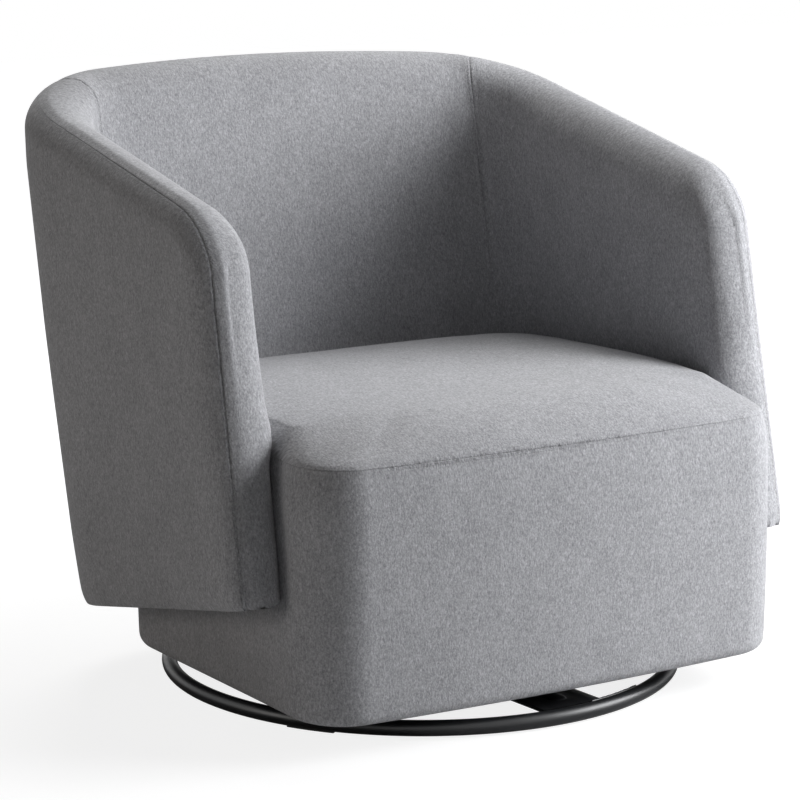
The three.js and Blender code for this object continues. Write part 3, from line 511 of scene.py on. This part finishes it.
# Padded shell, as it is cut and sewn: it is measured along the outer face of the wall, leaning back.
# Arm pads and back pad hook over the board frame to the outer seam, and three outer panels close the
# outside. The sizes are in millimetres and radians.
half_width, thickness, arm_length, corner_radius = 397.0, 81.0, 352.0, 177.0
lean, front_y, front_z = math.radians(11.7), -237 + axis_y * 1000, 174.0
arm_height, top_slope, arm_round = 437.0, 0.432, 64.0
outer_round, block_half, seat_seam_z, seat_edge = 38.0, 330.0, 333.0, 364.0
inner_round = thickness - outer_round
seam_turn, bow_turn = math.radians(53.5), math.radians(82)
corner_x = half_width - corner_radius
bow_radius = (corner_x + corner_radius * math.cos(bow_turn)) / math.cos(bow_turn)
bow_centre = arm_length + (corner_radius - bow_radius) * math.sin(bow_turn)
low_thickness = half_width - block_half - 0.3
panel_inset, panel_depth, panel_hem = 5.7, 12.0, 21.0
pocket_inset, pocket_depth = 29.5, 41.7
seam_angle = math.acos(1 - panel_inset / outer_round)
seam_steps = (0.0, 0.8, 1.8, 3.2, 5.5, 9.0)
pad_steps = (*seam_steps, 13.0, 17.0)
corner_inside = corner_radius - thickness
far_off = 60.0
crown_places = (0, 71, 200, 330, 430, 475, 506, 545, 600, 680, 760, 860)
crown_heights = (0, 0.4, 1.0, 1.4, 0.9, -0.4, -1.8, -2.8, -2.6, -1.0, 0.2, 0.6)


def spread(start, stop, count):
    return [start + (stop - start) * i / count for i in range(count + 1)]


def stand(x, v, h):
    """A place in the leaning shell, in millimetres, as it stands in the room."""
    return (x, v * math.cos(lean) + h * math.sin(lean) + front_y,
            h * math.cos(lean) - v * math.sin(lean) + front_z)


def lie(x, y, z):
    """The leaning shell's own x, v and h of a place in the room, both in millimetres."""
    y, z = y - front_y, z - front_z
    return x, y * math.cos(lean) - z * math.sin(lean), y * math.sin(lean) + z * math.cos(lean)


def top_line(v, along):
    """Height of the top edge: a straight slope, crowned between the seams and lower beside them."""
    return arm_height + top_slope * v + np.interp(along, crown_places, crown_heights)


def station(kind, at):
    """Place and turn of the outer face: (x, v, turn, distance from the arm's front edge, top)."""
    if kind == "arm":
        return half_width, at, 0.0, at, top_line(at, at)
    if kind == "corner":
        v, along = arm_length + corner_radius * math.sin(at), arm_length + corner_radius * at
        return corner_x + corner_radius * math.cos(at), v, at, 1e6, top_line(v, along)
    v = bow_centre + bow_radius * math.sin(at)
    along = arm_length + corner_radius * bow_turn + bow_radius * (at - bow_turn)
    return bow_radius * math.cos(at), v, at, 1e6, top_line(v, along)


def top_drop(edge, inset):
    """How far below the straight top line a point is that lies inset from the rounded edge."""
    if edge >= arm_round:
        return inset
    return arm_round - math.sqrt(max((arm_round - inset) ** 2 - (arm_round - edge) ** 2, 0))


def height_at(v, z):
    return (z - front_z + v * math.sin(lean)) / math.cos(lean)


def rolled(angle, radius):
    return radius * (1 - math.cos(angle)), radius * math.sin(angle)


def angle_of(inset, radius):
    return math.acos(max(1 - inset / radius, 0))


def press(v, h):
    """How far the arm's front swells into the block's side below the seat."""
    deepest = 6.5
    ahead = np.interp(v, (-22, -4, 28, 62), (0, 1, 1, 0))
    return deepest * ahead ** 2 * (3 - 2 * ahead) * np.interp(h, (-3, 0, 60, 150), (0, 0.3, 0.7, 1))


def pad_loop(place, pocket=True):
    """Section of an inner pad: seam, roll over the top, inner face, foot, pocket for the boards."""
    x, v, turn, edge, top = place
    start = min(panel_inset, edge)
    outer, inner = angle_of(start, outer_round), angle_of(min(edge, inner_round), inner_round)
    behind = edge > panel_inset
    hem = panel_hem + 0.3 if behind else outer_round - rolled(outer, outer_round)[1]
    deep = pocket_depth if pocket and edge >= pocket_inset else hem
    inside = min(pocket_inset, edge)
    ceiling = top - top_drop(edge, inside)
    shares = [s / (seam_angle * outer_round) for s in pad_steps] + [1.0]
    loop = []
    for share in shares:
        inset, out = rolled(outer * (1 - share), outer_round)
        loop.append((outer_round - out, top - top_drop(edge, inset)))
    for step in range(1, 14):
        inset, out = rolled(inner * step / 13, inner_round)
        loop.append((outer_round + out, top - top_drop(edge, inset)))
    share = math.sin(inner)
    low = low_thickness + (thickness - low_thickness) * math.sin(turn)
    high_face, low_face = outer_round + inner_round * share, outer_round + (low - outer_round) * share
    seat_top, shoulder = height_at(v, seat_seam_z + 26), height_at(v, seat_seam_z + 12)
    loop += [(high_face, h) for h in spread(loop[-1][1], seat_top, 50)[1:]]
    loop += [(high_face, shoulder)]
    for h in spread(height_at(v, seat_seam_z - 6), 10, 14) + [7.0, 5.0, 3.2, 1.8, 0.8, 0.2, 0.0]:
        loop.append((low_face + (float(press(edge, h)) * share if edge < 70 else 0), h))
    loop += [(d, 0.0) for d in spread(low_face - 7 * share, deep, 3)]
    loop += [(deep, h) for h in spread(0, ceiling, 12)[1:]]
    loop += [(deep + (hem - deep) * s, ceiling) for s in (0.5, 1)]
    lip = top - top_drop(edge, min(panel_inset + 0.6, edge))
    loop += [(hem, ceiling + (lip - ceiling) * s) for s in (0.5, 1)]
    return [stand(x - d * math.cos(turn), v - d * math.sin(turn), h) for d, h in loop]


def panel_loop(place):
    """Section of an outer panel: round foot, face up to the seam with a turned hem, and a flat back."""
    x, v, turn, edge, top = place
    reach = min(edge, outer_round)
    high = angle_of(reach, outer_round)
    face = outer_round - rolled(high, outer_round)[1]
    back = panel_depth + (panel_hem - panel_depth) * min(max((28 - edge) / 8, 0), 1)
    foot = min(9.0, back - face - 1)
    foot_high = 22
    loop = [(face + foot * (1 - math.sin(t)), foot_high * (1 - math.cos(t)))
            for t in spread(0, math.pi / 2, 8)]
    brow = top - top_drop(edge, reach)
    loop += [(face, h) for h in spread(foot_high, brow, 52)[1:-1]]
    arcs = [*spread((high - seam_angle) * outer_round, 9, 7)[:-1], *reversed(seam_steps)]
    if arcs[0] < 9:
        arcs = [arcs[0] * share for share in spread(1, 0, len(arcs) - 1)]
    for arc in arcs:
        inset, out = rolled(seam_angle + arc / outer_round, outer_round)
        loop.append((outer_round - out, top - top_drop(edge, min(inset, edge))))
    lip = top - top_drop(edge, min(panel_inset + 0.8, edge))
    hem_end, slope_end = (top - top_drop(edge, min(inset, edge)) for inset in (20, 28))
    loop += [(panel_hem, lip), (panel_hem, hem_end), (back, slope_end)]
    loop += [(back, h) for h in spread(slope_end, 0, 12)[1:]]
    return [stand(x - d * math.cos(turn), v - d * math.sin(turn), h) for d, h in loop]


def other_side(loop):
    return [(-x, y, z) for x, y, z in loop]


outer_arcs = [*pad_steps, 20.0]
nose = sorted(outer_round * (1 - math.cos(seam_angle - arc / outer_round)) for arc in outer_arcs)
nose += [inner_round * (1 - math.cos(angle))
         for angle in spread(angle_of(panel_inset, inner_round), math.pi / 2, 10)[1:]]
nose = sorted(edge for edge in nose if abs(edge - pocket_inset) > 1.5)
along_arm = spread(50, arm_round, 3) + spread(arm_round, arm_length, 44)[1:]
to_corner = [t for t in spread(0, seam_turn, 24)[1:] if t < seam_turn - 0.1]
to_corner += [seam_turn - (step + 0.08) / corner_inside for step in reversed(seam_steps)]
past_corner = [seam_turn + (step + 0.08) / corner_inside for step in seam_steps]
past_corner += [t for t in spread(seam_turn, bow_turn, 15)[1:] if t > seam_turn + 0.11]


def stations(kind, marks):
    return [station(kind, at) for at in marks]


before_pocket = [edge for edge in nose if edge <= panel_inset] + [panel_inset + 0.02]
before_pocket += [edge for edge in nose if panel_inset < edge < pocket_inset] + [pocket_inset]
past_pocket = [pocket_inset] + [edge for edge in nose if edge > pocket_inset] + along_arm
arm_loops = [pad_loop(s, pocket=False) for s in stations("arm", before_pocket)]
arm_loops += [pad_loop(s) for s in stations("arm", past_pocket) + stations("corner", to_corner)]
back_half = stations("corner", past_corner) + stations("bow", spread(bow_turn, math.pi / 2, 34)[1:])
hidden_front = [outer_round * (1 - math.cos(seam_angle + (arc + 0.25) / outer_round))
                for arc in (*seam_steps, 13, 18, 24, 30, 36)]
panel_stations = stations("arm", hidden_front + spread(38.5, 71, 5) + along_arm[4:])
panel_stations += stations("corner", to_corner)


def around_back(loops):
    return loops + [other_side(loop) for loop in loops[-2::-1]]


def inset_of(along, under_top):
    """Distance in from the rounded front and top edge, and the way out to it along the wall."""
    rounded = (along < arm_round) & (under_top < arm_round)
    reach = np.hypot(arm_round - along, arm_round - under_top)
    inset = np.where(rounded, arm_round - reach, np.minimum(along, under_top))
    slanted = np.stack([along - arm_round, arm_round - under_top], 1)
    slanted /= np.maximum(reach, 1e-6)[:, None]
    straight = np.where((along < under_top)[:, None], [[-1.0, 0.0]], [[0.0, 1.0]])
    return np.clip(inset, 0, None), np.where(rounded[:, None], slanted, straight)


def measure(spots):
    """For places on the shell: way along the wall, height, depth in from the outer face, turn, and
    what inset_of gives."""
    x, v, h = lie(*spots.T * 1000)
    wide = np.abs(x)
    turn_bow = np.arctan2(v - bow_centre, wide)
    turn_corner = np.arctan2(v - arm_length, np.maximum(wide - corner_x, 1e-6))
    on_bow = turn_bow >= bow_turn
    on_arm = ~on_bow & (v <= arm_length)

    def choose(bow, arm, corner):
        return np.where(on_bow, bow, np.where(on_arm, arm, corner))

    turn = choose(turn_bow, 0.0, np.clip(turn_corner, 0, bow_turn))
    from_corner = corner_radius - np.hypot(wide - corner_x, v - arm_length)
    depth = choose(bow_radius - np.hypot(wide, v - bow_centre), half_width - wide, from_corner)
    along = choose(arm_length + corner_radius * bow_turn + bow_radius * (turn_bow - bow_turn), v,
                   arm_length + corner_radius * turn)
    face_v = choose(bow_centre + bow_radius * np.sin(turn_bow), v,
                    arm_length + corner_radius * np.sin(turn))
    return along, h, depth, turn, *inset_of(along, top_line(face_v, along) - h)


def round_angle(inset, radius):
    return np.arccos(np.clip(1 - np.clip(inset, 0, radius) / radius, -1, 1))


def facing(spots):
    """The way the shell's surface faces, worked out from its form, so that seams don't disturb it."""
    _, _, depth, turn, inset, way = measure(spots)
    outside = depth < outer_round
    tilt = np.where(outside, round_angle(inset, outer_round), round_angle(inset, inner_round))
    deep = np.where(outside, -np.sin(tilt), np.sin(tilt))
    ahead, up = way[:, 0] * np.cos(tilt), way[:, 1] * np.cos(tilt)
    x = (-np.sin(turn) * ahead - np.cos(turn) * deep) * np.where(spots[:, 0] < 0, -1, 1)
    v = np.cos(turn) * ahead - np.sin(turn) * deep
    return np.column_stack([
        x, v * math.cos(lean) + up * math.sin(lean), up * math.cos(lean) - v * math.sin(lean)])


def drape(spots, cut_radius, layer, centred=False):
    """Where the shell's cover lies when flat, in metres, with its rolls laid out beyond its flat faces.
    Each piece is cut from a layer of cloth of its own."""
    along, h, depth, turn, inset, way = measure(spots)
    inner, outer = round_angle(inset, inner_round), round_angle(inset, outer_round)
    if cut_radius == corner_radius:
        shift = outer_round * (math.pi / 2 - outer) - (outer_round - np.clip(inset, 0, outer_round))
    else:
        shift = inner_round * (math.pi / 2 - inner) - (inner_round - np.clip(inset, 0, inner_round))
        over = inner_round * (math.pi / 2 - 1) + outer_round * outer + np.clip(inset, 0, outer_round)
        shift = np.where(depth < outer_round, over, shift)
    run = along - (corner_radius - cut_radius) * np.minimum(turn, bow_turn)
    if centred:
        middle = arm_length + cut_radius * bow_turn + bow_radius * (math.pi / 2 - bow_turn)
        run = (middle - run) * np.sign(spots[:, 0])
    flat = np.stack([run, h], 1) + way * shift[:, None] * [[0 if centred else 1, 1]]
    return np.column_stack([flat * mm, np.full(len(flat), layer)])


def find_seams(spots):
    """Millimetres from the outer seam and from the corner seam, and 1 where the cover shows."""
    _, _, depth, turn, inset, _ = measure(spots)
    outer = round_angle(inset, outer_round)
    surface = outer_round * (1 - np.sin(outer))
    inner_face = outer_round + inner_round * np.sin(round_angle(inset, inner_round))
    on_roll = (depth < outer_round + 0.5) & (np.abs(depth - surface) < 0.7)
    on_lip = (inset < panel_inset + 1.2) & (depth > surface) & (depth < panel_hem + 1) & ~on_roll
    below_seat = (spots[:, 2] < 0.36) & (depth > 50)
    inside = (depth > outer_round) & ((np.abs(depth - inner_face) < 1.0) | below_seat)
    outer_seam = np.where(on_roll, np.abs(outer - seam_angle) * outer_round,
                          np.where(on_lip, 0.0, far_off))
    corner_seam = np.where(turn > 0, np.abs(turn - seam_turn) * (corner_radius - depth), far_off)
    shows = (on_roll | on_lip | inside).astype(float)
    return np.column_stack([outer_seam, np.minimum(corner_seam, far_off), shows])


def groove(away, width):
    """1 on a seam, falling to nothing within a few times the width."""
    return np.exp(-(away / width) ** 2)


def sew(piece):
    """Draws the cover in along its seams, with small gathers, and rounds the foot."""
    spots = places(piece)
    outer_seam, corner_seam, shows = noted(piece, "lines").T
    along, h, depth = measure(spots)[:3]
    strong = np.interp(along, (0, 90, 170, 280, 420), (1, 1, 0.7, 0.3, 0.15))
    fade = np.interp(h, (120, 330, 520), (0.1, 0.3, 1))
    wave = np.sin(h / 3.4 + 2.1 * np.sin(h / 17.0)) * np.sin(h / 11.0 + along / 23.0)
    pull = fade * (0.6 * groove(corner_seam, 1.3) + (0.6 + 0.3 * wave) * groove(corner_seam, 9.0))
    gather = np.sin((along + h) / 3.9 + 1.7 * np.sin((along - h) / 19.0))
    pull += strong * (0.55 * groove(outer_seam, 1.2) + (0.8 + 0.15 * gather) * groove(outer_seam, 8.0))
    foot_round = 7
    under = np.clip(foot_round - h, 0, foot_round)
    pull += np.where(depth > panel_depth + 2, foot_round - np.sqrt(foot_round ** 2 - under ** 2), 0)
    put(piece, spots - facing(spots) * (pull * shows)[:, None] * mm)
    away = np.minimum(outer_seam + 5 * (1 - strong), corner_seam + 5 * (1 - fade))
    note(piece, "seam", away * mm)
    piece.data.attributes.remove(piece.data.attributes["lines"])


front_deep, panel_reach = 21.0, 11.5


def flatten_front(piece):
    """Makes the arm's front fuller: a stiff liner keeps its rolls half as deep as they are wide."""
    spots = places(piece)
    along, h, depth, _, inset, way = measure(spots)
    across = np.where(depth < outer_round, outer_round, inner_round)
    inset = np.clip(inset, 1e-3, across)
    flat = np.clip(inset, 0, front_deep)
    fuller = across / front_deep * np.sqrt(2 * front_deep * flat - flat ** 2)
    fuller /= np.sqrt(2 * across * inset - inset ** 2)
    ahead = np.where(along < arm_round, np.clip(-way[:, 0], 0, 1) ** 2, 0)
    share = np.where(depth < outer_round, np.interp(h, (0, 280), (0.55, 0)), 1)
    push = (depth - outer_round) * (fuller - 1) * share * ahead
    square = np.interp(h, (80, 200, 330, 420), (0, 1.5, 2.5, 5))
    push += square * np.clip(1 - inset / 24, 0, 1) ** 1.5 * np.sqrt(ahead)
    drawn_in = 2.4 * np.clip(1 - along / 160, 0, 1)
    push += drawn_in * np.clip(1 - depth / panel_reach, 0, 1) * np.clip((h - 40) / 60, 0, 1)
    spots[:, 0] -= np.sign(spots[:, 0]) * push * mm
    put(piece, spots)


def finish_cover(piece, *stands_for, fill=0.7):
    settle(piece, "SUBSURF", levels=1, render_levels=1)
    sew(piece)
    flatten_front(piece)
    dress(piece, "chair", cloth, "grey_heather_weave", *stands_for, angle=180)


def fill_pad(piece):
    """Notes the seams, and lets the stuffing swell the faces that are free of seams, seat and frame."""
    spots = places(piece)
    lines = find_seams(spots)
    note(piece, "lines", lines)
    depth = measure(spots)[2]
    held = (lines[:, 2] < 1) | (spots[:, 2] < 0.37) | (depth < outer_round - 6) | (lines[:, 1] < 8)
    stuff(piece, held, 0.0035)


pad_corner = 117
arm_form = skin("arm_pad_cover_right", arm_loops)
note(arm_form, "weave", drape(places(arm_form), pad_corner, 3.37))
fill_pad(arm_form)
left_form = duplicate(arm_form)
left_form.name = "arm_pad_cover_left"
put(left_form, places(left_form) * [-1, 1, 1])
left_form.data.flip_normals()
note(left_form, "weave", noted(left_form, "weave") + [0.03, 0.05, 2.0])
finish_cover(arm_form, "arm_pad_right")
finish_cover(left_form, "arm_pad_left")

back_form = skin("back_pad_cover", around_back([pad_loop(s) for s in back_half]))
note(back_form, "weave", drape(places(back_form), pad_corner, 7.37, centred=True))
fill_pad(back_form)
finish_cover(back_form, "back_pad")


def outer_cover(name, loops, layer, centred, *stands_for):
    """An outer panel, pulled tight over thin foam that swells it a little between its edges."""
    panel = skin(name, loops)
    spots = places(panel)
    note(panel, "weave", drape(spots, corner_radius, layer, centred))
    lines = find_seams(spots)
    note(panel, "lines", lines)
    along, h, depth, _, inset, _ = measure(spots)
    rise = np.interp(h, (0, 30, 90, 160, 260, 340, 480), (-4.5, -3, -0.3, 1.2, 3.2, 4.4, 4.4))
    rise *= np.clip((inset - 8) / 70, 0, 1) * np.clip(lines[:, 1] / 40, 0.5, 1)
    rise *= np.interp(along, (0, 120, 260, 400), (0.15, 0.3, 0.7, 1))
    rise -= 6.5 * np.exp(-h / 15) * np.interp(along, (0, 350), (1, 0.3))
    rise *= np.clip(1 - depth / panel_reach, 0, 1)
    put(panel, spots + facing(spots) * rise[:, None] * mm)
    finish_cover(panel, *stands_for, fill=0.9)


panel_loops = [panel_loop(s) for s in panel_stations]
outer_cover("outer_arm_cover_right", panel_loops, 9.37, False, "outer_arm_panel_right")
outer_cover("outer_arm_cover_left", [other_side(loop) for loop in panel_loops], 11.37, False,
            "outer_arm_panel_left")
outer_cover("outer_back_cover", around_back([panel_loop(s) for s in back_half]), 13.37, True,
            "outer_back_panel")


# Seat block: a foam-backed border runs round the block under the seam, and the crowned cushion rolls
# over the front from it. Both are pulled in along the one seam between them.
block_front, block_bow, block_corner = -320 + axis_y * 1000, 9.0, 69.0
underside, bottom_round, border_thick, seam_gap = 40.0, 14.0, 14.0, 0.04
nose_x, nose_y = block_half - block_corner, block_front + block_bow


def shell_y(v, z):
    """Where the leaning shell's v is at a height: below the shell's foot the block stands upright."""
    z = max(z, front_z - v * math.sin(lean))
    return front_y + (v + (z - front_z) * math.sin(lean)) / math.cos(lean)


def outline(inset, z):
    """Plan of the seat block at a height, from its rear middle round by the left and the front."""
    half = [(nose_x * s, block_front + block_bow * s ** 2 + inset) for s in spread(0, 1, 44)[:-1]]
    radius = block_corner - inset
    half += [(nose_x + radius * math.sin(t), nose_y + block_corner - radius * math.cos(t))
             for t in spread(0, math.pi / 2, 20)]
    side_start, side_end = nose_y + block_corner, shell_y(arm_length, z)
    half += [(block_half - inset, side_start + (side_end - side_start) * s)
             for s in spread(0, 1, 54)[1:-1]]
    turns = [("corner", t) for t in spread(0, bow_turn, 26)]
    turns += [("bow", t) for t in spread(bow_turn, math.pi / 2, 36)[1:-1]]
    for kind, t in turns:
        x, v, turn, _, _ = station(kind, t)
        depth = low_thickness + 0.3 + (thickness - low_thickness) * math.sin(turn) + inset
        half.append((x - depth * math.cos(turn), shell_y(v - depth * math.sin(turn), z)))
    half.append((0.2, half[-1][1] + 0.1))
    for i, (x, y) in enumerate(half):
        if x > nose_x and y < side_end:
            dent = float(press(*lie(x, y, z)[1:])) * 1.06
            half[i] = (x - dent * (1 - inset / border_thick), y)
    return [(-x, y) for x, y in half[::-1]] + half[1:]


def level(inset, z):
    return [(x, y, z) for x, y in outline(inset, z)]


brow_deep, brow_high = 8.0, 58


def brow_inset(z):
    """How far the front leans in towards the seam, so that border and cushion make one round edge."""
    return brow_deep * min(max((z - seat_seam_z + brow_high) / brow_high, 0), 1) ** 2


border_profile = [(border_thick, underside), (11.0, underside)]
border_profile += [(bottom_round * (1 - math.sin(t)), underside + bottom_round * (1 - math.cos(t)))
                   for t in spread(math.radians(12), math.pi / 2, 7)]
border_profile += [(brow_inset(z) - 1.6 * math.sin(math.pi * ((z - 54) / 279) ** 0.8), z)
                   for z in spread(underside + bottom_round, seat_seam_z - 12, 44)[1:]]
border_profile += [(brow_inset(seat_seam_z - step), seat_seam_z - seam_gap - step)
                   for step in reversed(seam_steps)]
border_profile += [(brow_deep + 1.6, seat_seam_z - seam_gap), (border_thick, seat_seam_z - seam_gap)]
border_profile += [(border_thick, z) for z in spread(seat_seam_z - 30, underside + 30, 6)]
border = skin("seat_border_cover", [level(inset, z) for inset, z in border_profile], ends=False)

# Its weave runs along the rim of the seat, and stands upright.
rim = outline(brow_deep, seat_seam_z)
steps = [0.0] + [math.dist(a, b) for a, b in zip(rim, rim[1:])]
runs = np.cumsum(steps) - sum(steps) / 2
height = places(border)[:, 2]
thread = np.rint(noted(border, "thread")[:, 0]).astype(int)
note(border, "weave", np.column_stack([runs[thread] * mm, height, np.full(len(height), 15.37)]))


def seat_lines(piece):
    """Millimetres from the seat's seam, and 1 where the cover shows near it."""
    spots = places(piece)
    x, y, z = spots.T * 1000
    at_rim = np.min([np.hypot(x - a, y - b) for a, b in rim[::2]], axis=0) < 6
    away = np.where(at_rim, np.abs(z - seat_seam_z), far_off)
    note(piece, "lines", np.column_stack([away, np.full(len(z), far_off), at_rim]))


def sew_seat(piece):
    """Draws border and cushion in to the seam between them, with slanting gathers on the left."""
    spots = places(piece)
    ways = np.zeros(len(spots) * 3)
    piece.data.vertex_normals.foreach_get("vector", ways)
    ways = ways.reshape(-1, 3) * [1, 1, 0]
    ways /= np.maximum(np.linalg.norm(ways, axis=1, keepdims=True), 1e-6)
    away, _, shows = noted(piece, "lines").T
    run = (spots[:, 0] + spots[:, 1] * 0.4) * 1000
    slant = (spots[:, 2] * 1000 - seat_seam_z) * 0.8
    wave = np.sin((run + slant) / 2.9 + 1.9 * np.sin(run / 13.0)) * np.sin(run / 8.7 + 1.0)
    left = np.interp(run, (-460, -400, -330, -120, 40, 150), (0.1, 0.3, 1, 0.8, 0.35, 0.1))
    pull = 0.35 * left * groove(away, 1.2) + (0.25 + 0.45 * wave) * left * groove(away, 7.0)
    fold = np.sin((run + slant * 1.3) / 7.5) * np.interp(run, (-330, -240, -90, 0), (0, 1, 1, 0))
    pull += 0.45 * fold * groove(away, 17.0) * (slant > 0)
    put(piece, spots - ways * (pull * shows)[:, None] * mm)
    note(piece, "seam", (away + 5 * (1 - left)) * mm)
    piece.data.attributes.remove(piece.data.attributes["lines"])


seat_lines(border)
settle(border, "SUBSURF", levels=1, render_levels=1)
sew_seat(border)
dress(border, "chair", cloth, "grey_heather_weave", "seat_border_front", "seat_border_rear",
      "seat_border_right", "seat_border_left", angle=180)

cushion_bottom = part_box("seat_cushion")[0].z * 1000
rear_y = max(y for _, y in rim)
middle_y = (block_front + rear_y) / 2


def top_z(x, y):
    """Height of the cushion's top: crowned, lower at the rear and at its front corners."""
    back = (y - middle_y) / (rear_y - middle_y)
    crown = 9.5 * max(1 - (abs(x) / block_half) ** 4, 0) * max(1 - back ** 2, 0)
    corner = min(abs(x) / block_half, 1) ** 3 * min(max(-back, 0), 1) ** 3
    return seat_edge + 1 - 6.0 * max(back, 0) + crown - 15.0 * corner


front_roll, nose_roll, rear_roll = 92, 138, 24


def roll_at(x, y):
    """How far in the cushion's rolled edge reaches: widest at the front corners, narrow by the arms."""
    share = min(max((y - nose_y - 5) / 115.0, 0), 1)
    behind = share * share * (3 - 2 * share)
    front = front_roll + (nose_roll - front_roll) * min(abs(x) / nose_x, 1) ** 4
    return front + (rear_roll - front) * behind


# The cushion from below: its hidden foot, the seam's lip, the rolled edge, and the top to its middle.
rings = [level(border_thick + 2, z) for z in (cushion_bottom, 290)]
rings += [level(inset, seat_seam_z + seam_gap) for inset in (border_thick, 10.0, brow_deep)]
rings += [level(brow_deep + step * 0.35, seat_seam_z + seam_gap + step) for step in (0.6, 1.3)]
roll_foot = 332
for angle in spread(math.radians(6), math.pi / 2, 20):
    ring_points = []
    for x, y in outline(8.6, seat_seam_z):
        length = math.hypot(x, y - middle_y)
        step = roll_at(x, y) * (1 - math.cos(angle))
        px, py = x - x / length * step, y - (y - middle_y) / length * step
        ring_points.append((px, py, roll_foot + (top_z(px, py) - roll_foot) * math.sin(angle)))
    rings.append(ring_points)
brow = rings[-1]
for share in (0.04, 0.08, 0.13, 0.18, 0.24, 0.3, 0.37, 0.44, 0.51, 0.58, 0.65, 0.72, 0.79, 0.85, 0.9,
              0.94, 0.97):
    inwards = [(x * (1 - share), y + (middle_y - y) * share) for x, y, _ in brow]
    rings.append([(x, y, top_z(x, y)) for x, y in inwards])
cushion = skin("seat_cushion_cover", rings)


def lean_on_shell(piece):
    """Keeps the cushion a hair's breadth clear of the arms' and the back's inner faces."""
    spots = places(piece)
    along, _, depth, turn, inset, _ = measure(spots)
    share = np.sin(round_angle(inset, inner_round))
    face = outer_round + inner_round * share
    over = np.clip((spots[:, 2] * 1000 - seat_seam_z + 6) / 18, 0, 1)
    low = low_thickness + (thickness - low_thickness) * np.sin(turn)
    lower = outer_round + (low - outer_round) * share
    wanted = np.where(along > 0, lower + (face - lower) * over + 0.8, -1e3)
    ease = np.clip((along + 25) / 90, 0, 1)
    ease *= ease * (3 - 2 * ease) * (along < 150)
    push = np.maximum(np.maximum(wanted - depth, 0), ease * (low + (thickness - low) * over - depth))
    push *= spots[:, 2] > seat_seam_z * mm + 0.0004
    x, v, h = lie(*spots.T * 1000)
    x, v = x - np.sign(x) * push * np.cos(turn), v - push * np.sin(turn)
    put(piece, np.column_stack(stand(x, v, h)) * mm)


# Its weave lies flat on the top and hangs down from it in front and behind.
spots = places(cushion)
drop = np.clip(0.373 - spots[:, 2], 0, 0.2) * np.where(spots[:, 1] < middle_y * mm, 1, -1)
note(cushion, "weave", np.column_stack([
    spots[:, 0], spots[:, 1] - drop, np.full(len(drop), 17.37)]))
seat_lines(cushion)
lean_on_shell(cushion)
sewn_down = 0.3375
stuff(cushion, places(cushion)[:, 2] < sewn_down, 0.005)
lean_on_shell(cushion)
settle(cushion, "SUBSURF", levels=1, render_levels=1)
lean_on_shell(cushion)
sew_seat(cushion)
dress(cushion, "chair", cloth, "grey_heather_weave", "seat_cushion", angle=180)


# Dust cover: black spun cloth with a hole for the swivel plate, pulled over the underside of the rails
# and held all round by wire staples, last of all. It sags a little between the rails.
plate_low, plate_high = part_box("swivel_plate_upper")
hole = (plate_high.x - plate_low.x) * 500 + 0.4
hem = outline(border_thick + 0.3, underside)


def toward_hole(share, z):
    """A ring of the cloth between its hem and its hole; the cloth is lowest half way between them."""
    ring_points = []
    for x, y in hem:
        dy = y - axis_y * 1000
        reach = hole / (abs(x) ** 12 + abs(dy) ** 12) ** (1 / 12)
        at = share + (1 - share) * reach
        sag = 1.6 * math.sin(math.pi * min(max((1 - share) * 1.25 - 0.18, 0), 1)) ** 2
        ring_points.append((x * at, axis_y * 1000 + dy * at, z - sag))
    return ring_points


down = spread(1, 0, 26)
dust = skin("dust_cover_cloth", [toward_hole(s, underside) for s in down]
            + [toward_hole(s, underside + 0.8) for s in down[::-1]], ends=False)
dress(dust, "chair", felt, "black_backing_cloth", "dust_cover")


def draw_wire(piece, way, beyond, push):
    """Draws the wire on in edit mode, from its face that looks one way and lies beyond this x."""
    bm = bmesh.from_edit_mesh(piece.data)
    for face in bm.faces:
        middle = face.calc_center_median()
        face.select_set(face.normal.dot(Vector(way)) > 0.9 and middle.x > beyond and middle.z < 0.0004)
    bmesh.update_edit_mesh(piece.data)
    bpy.ops.mesh.extrude_region_move(TRANSFORM_OT_translate={"value": push})


bpy.ops.object.select_all(action="DESELECT")
wire_thick, wire_leg = 0.0007, 0.0006
bpy.ops.mesh.primitive_cube_add(size=wire_thick, location=(-0.00465, 0, 0))
staple = bpy.context.object
staple.name = staple.data.name = "staple"
bpy.ops.object.transform_apply(location=True)
bpy.ops.object.mode_set(mode="EDIT")
bpy.ops.mesh.select_mode(type="FACE")
draw_wire(staple, (0, 0, 1), -1, (0, 0, wire_leg))
draw_wire(staple, (1, 0, 0), -1, (0.0086, 0, 0))
draw_wire(staple, (1, 0, 0), 0, (wire_thick, 0, 0))
draw_wire(staple, (0, 0, 1), 0.0042, (0, 0, wire_leg))
bpy.ops.object.mode_set(mode="OBJECT")
settle(staple, "BEVEL", width=0.0001, segments=1)

# One staple every 42 mm or so, none of them quite in line.
apart, crooked = 42, 0.25
row, travelled, staples = outline(24, underside), 20.0, []
for (x0, y0), (x1, y1) in zip(row, row[1:]):
    step = math.dist((x0, y0), (x1, y1))
    if travelled + step >= apart:
        travelled -= apart
        copy = duplicate(staple)
        copy.location = (x1 * mm, y1 * mm, underside * mm - 0.0004)
        copy.rotation_euler.z = math.atan2(y1 - y0, x1 - x0) + crooked * math.sin(7 * len(staples))
        staples.append(copy)
    travelled += step
pick(*staples)
bpy.ops.object.join()
bpy.ops.object.transform_apply(location=True, rotation=True)
bpy.data.objects.remove(staple)
staples[0].name = staples[0].data.name = "dust_cover_staples"
dress(staples[0], "chair", zinc, "zinc_steel")
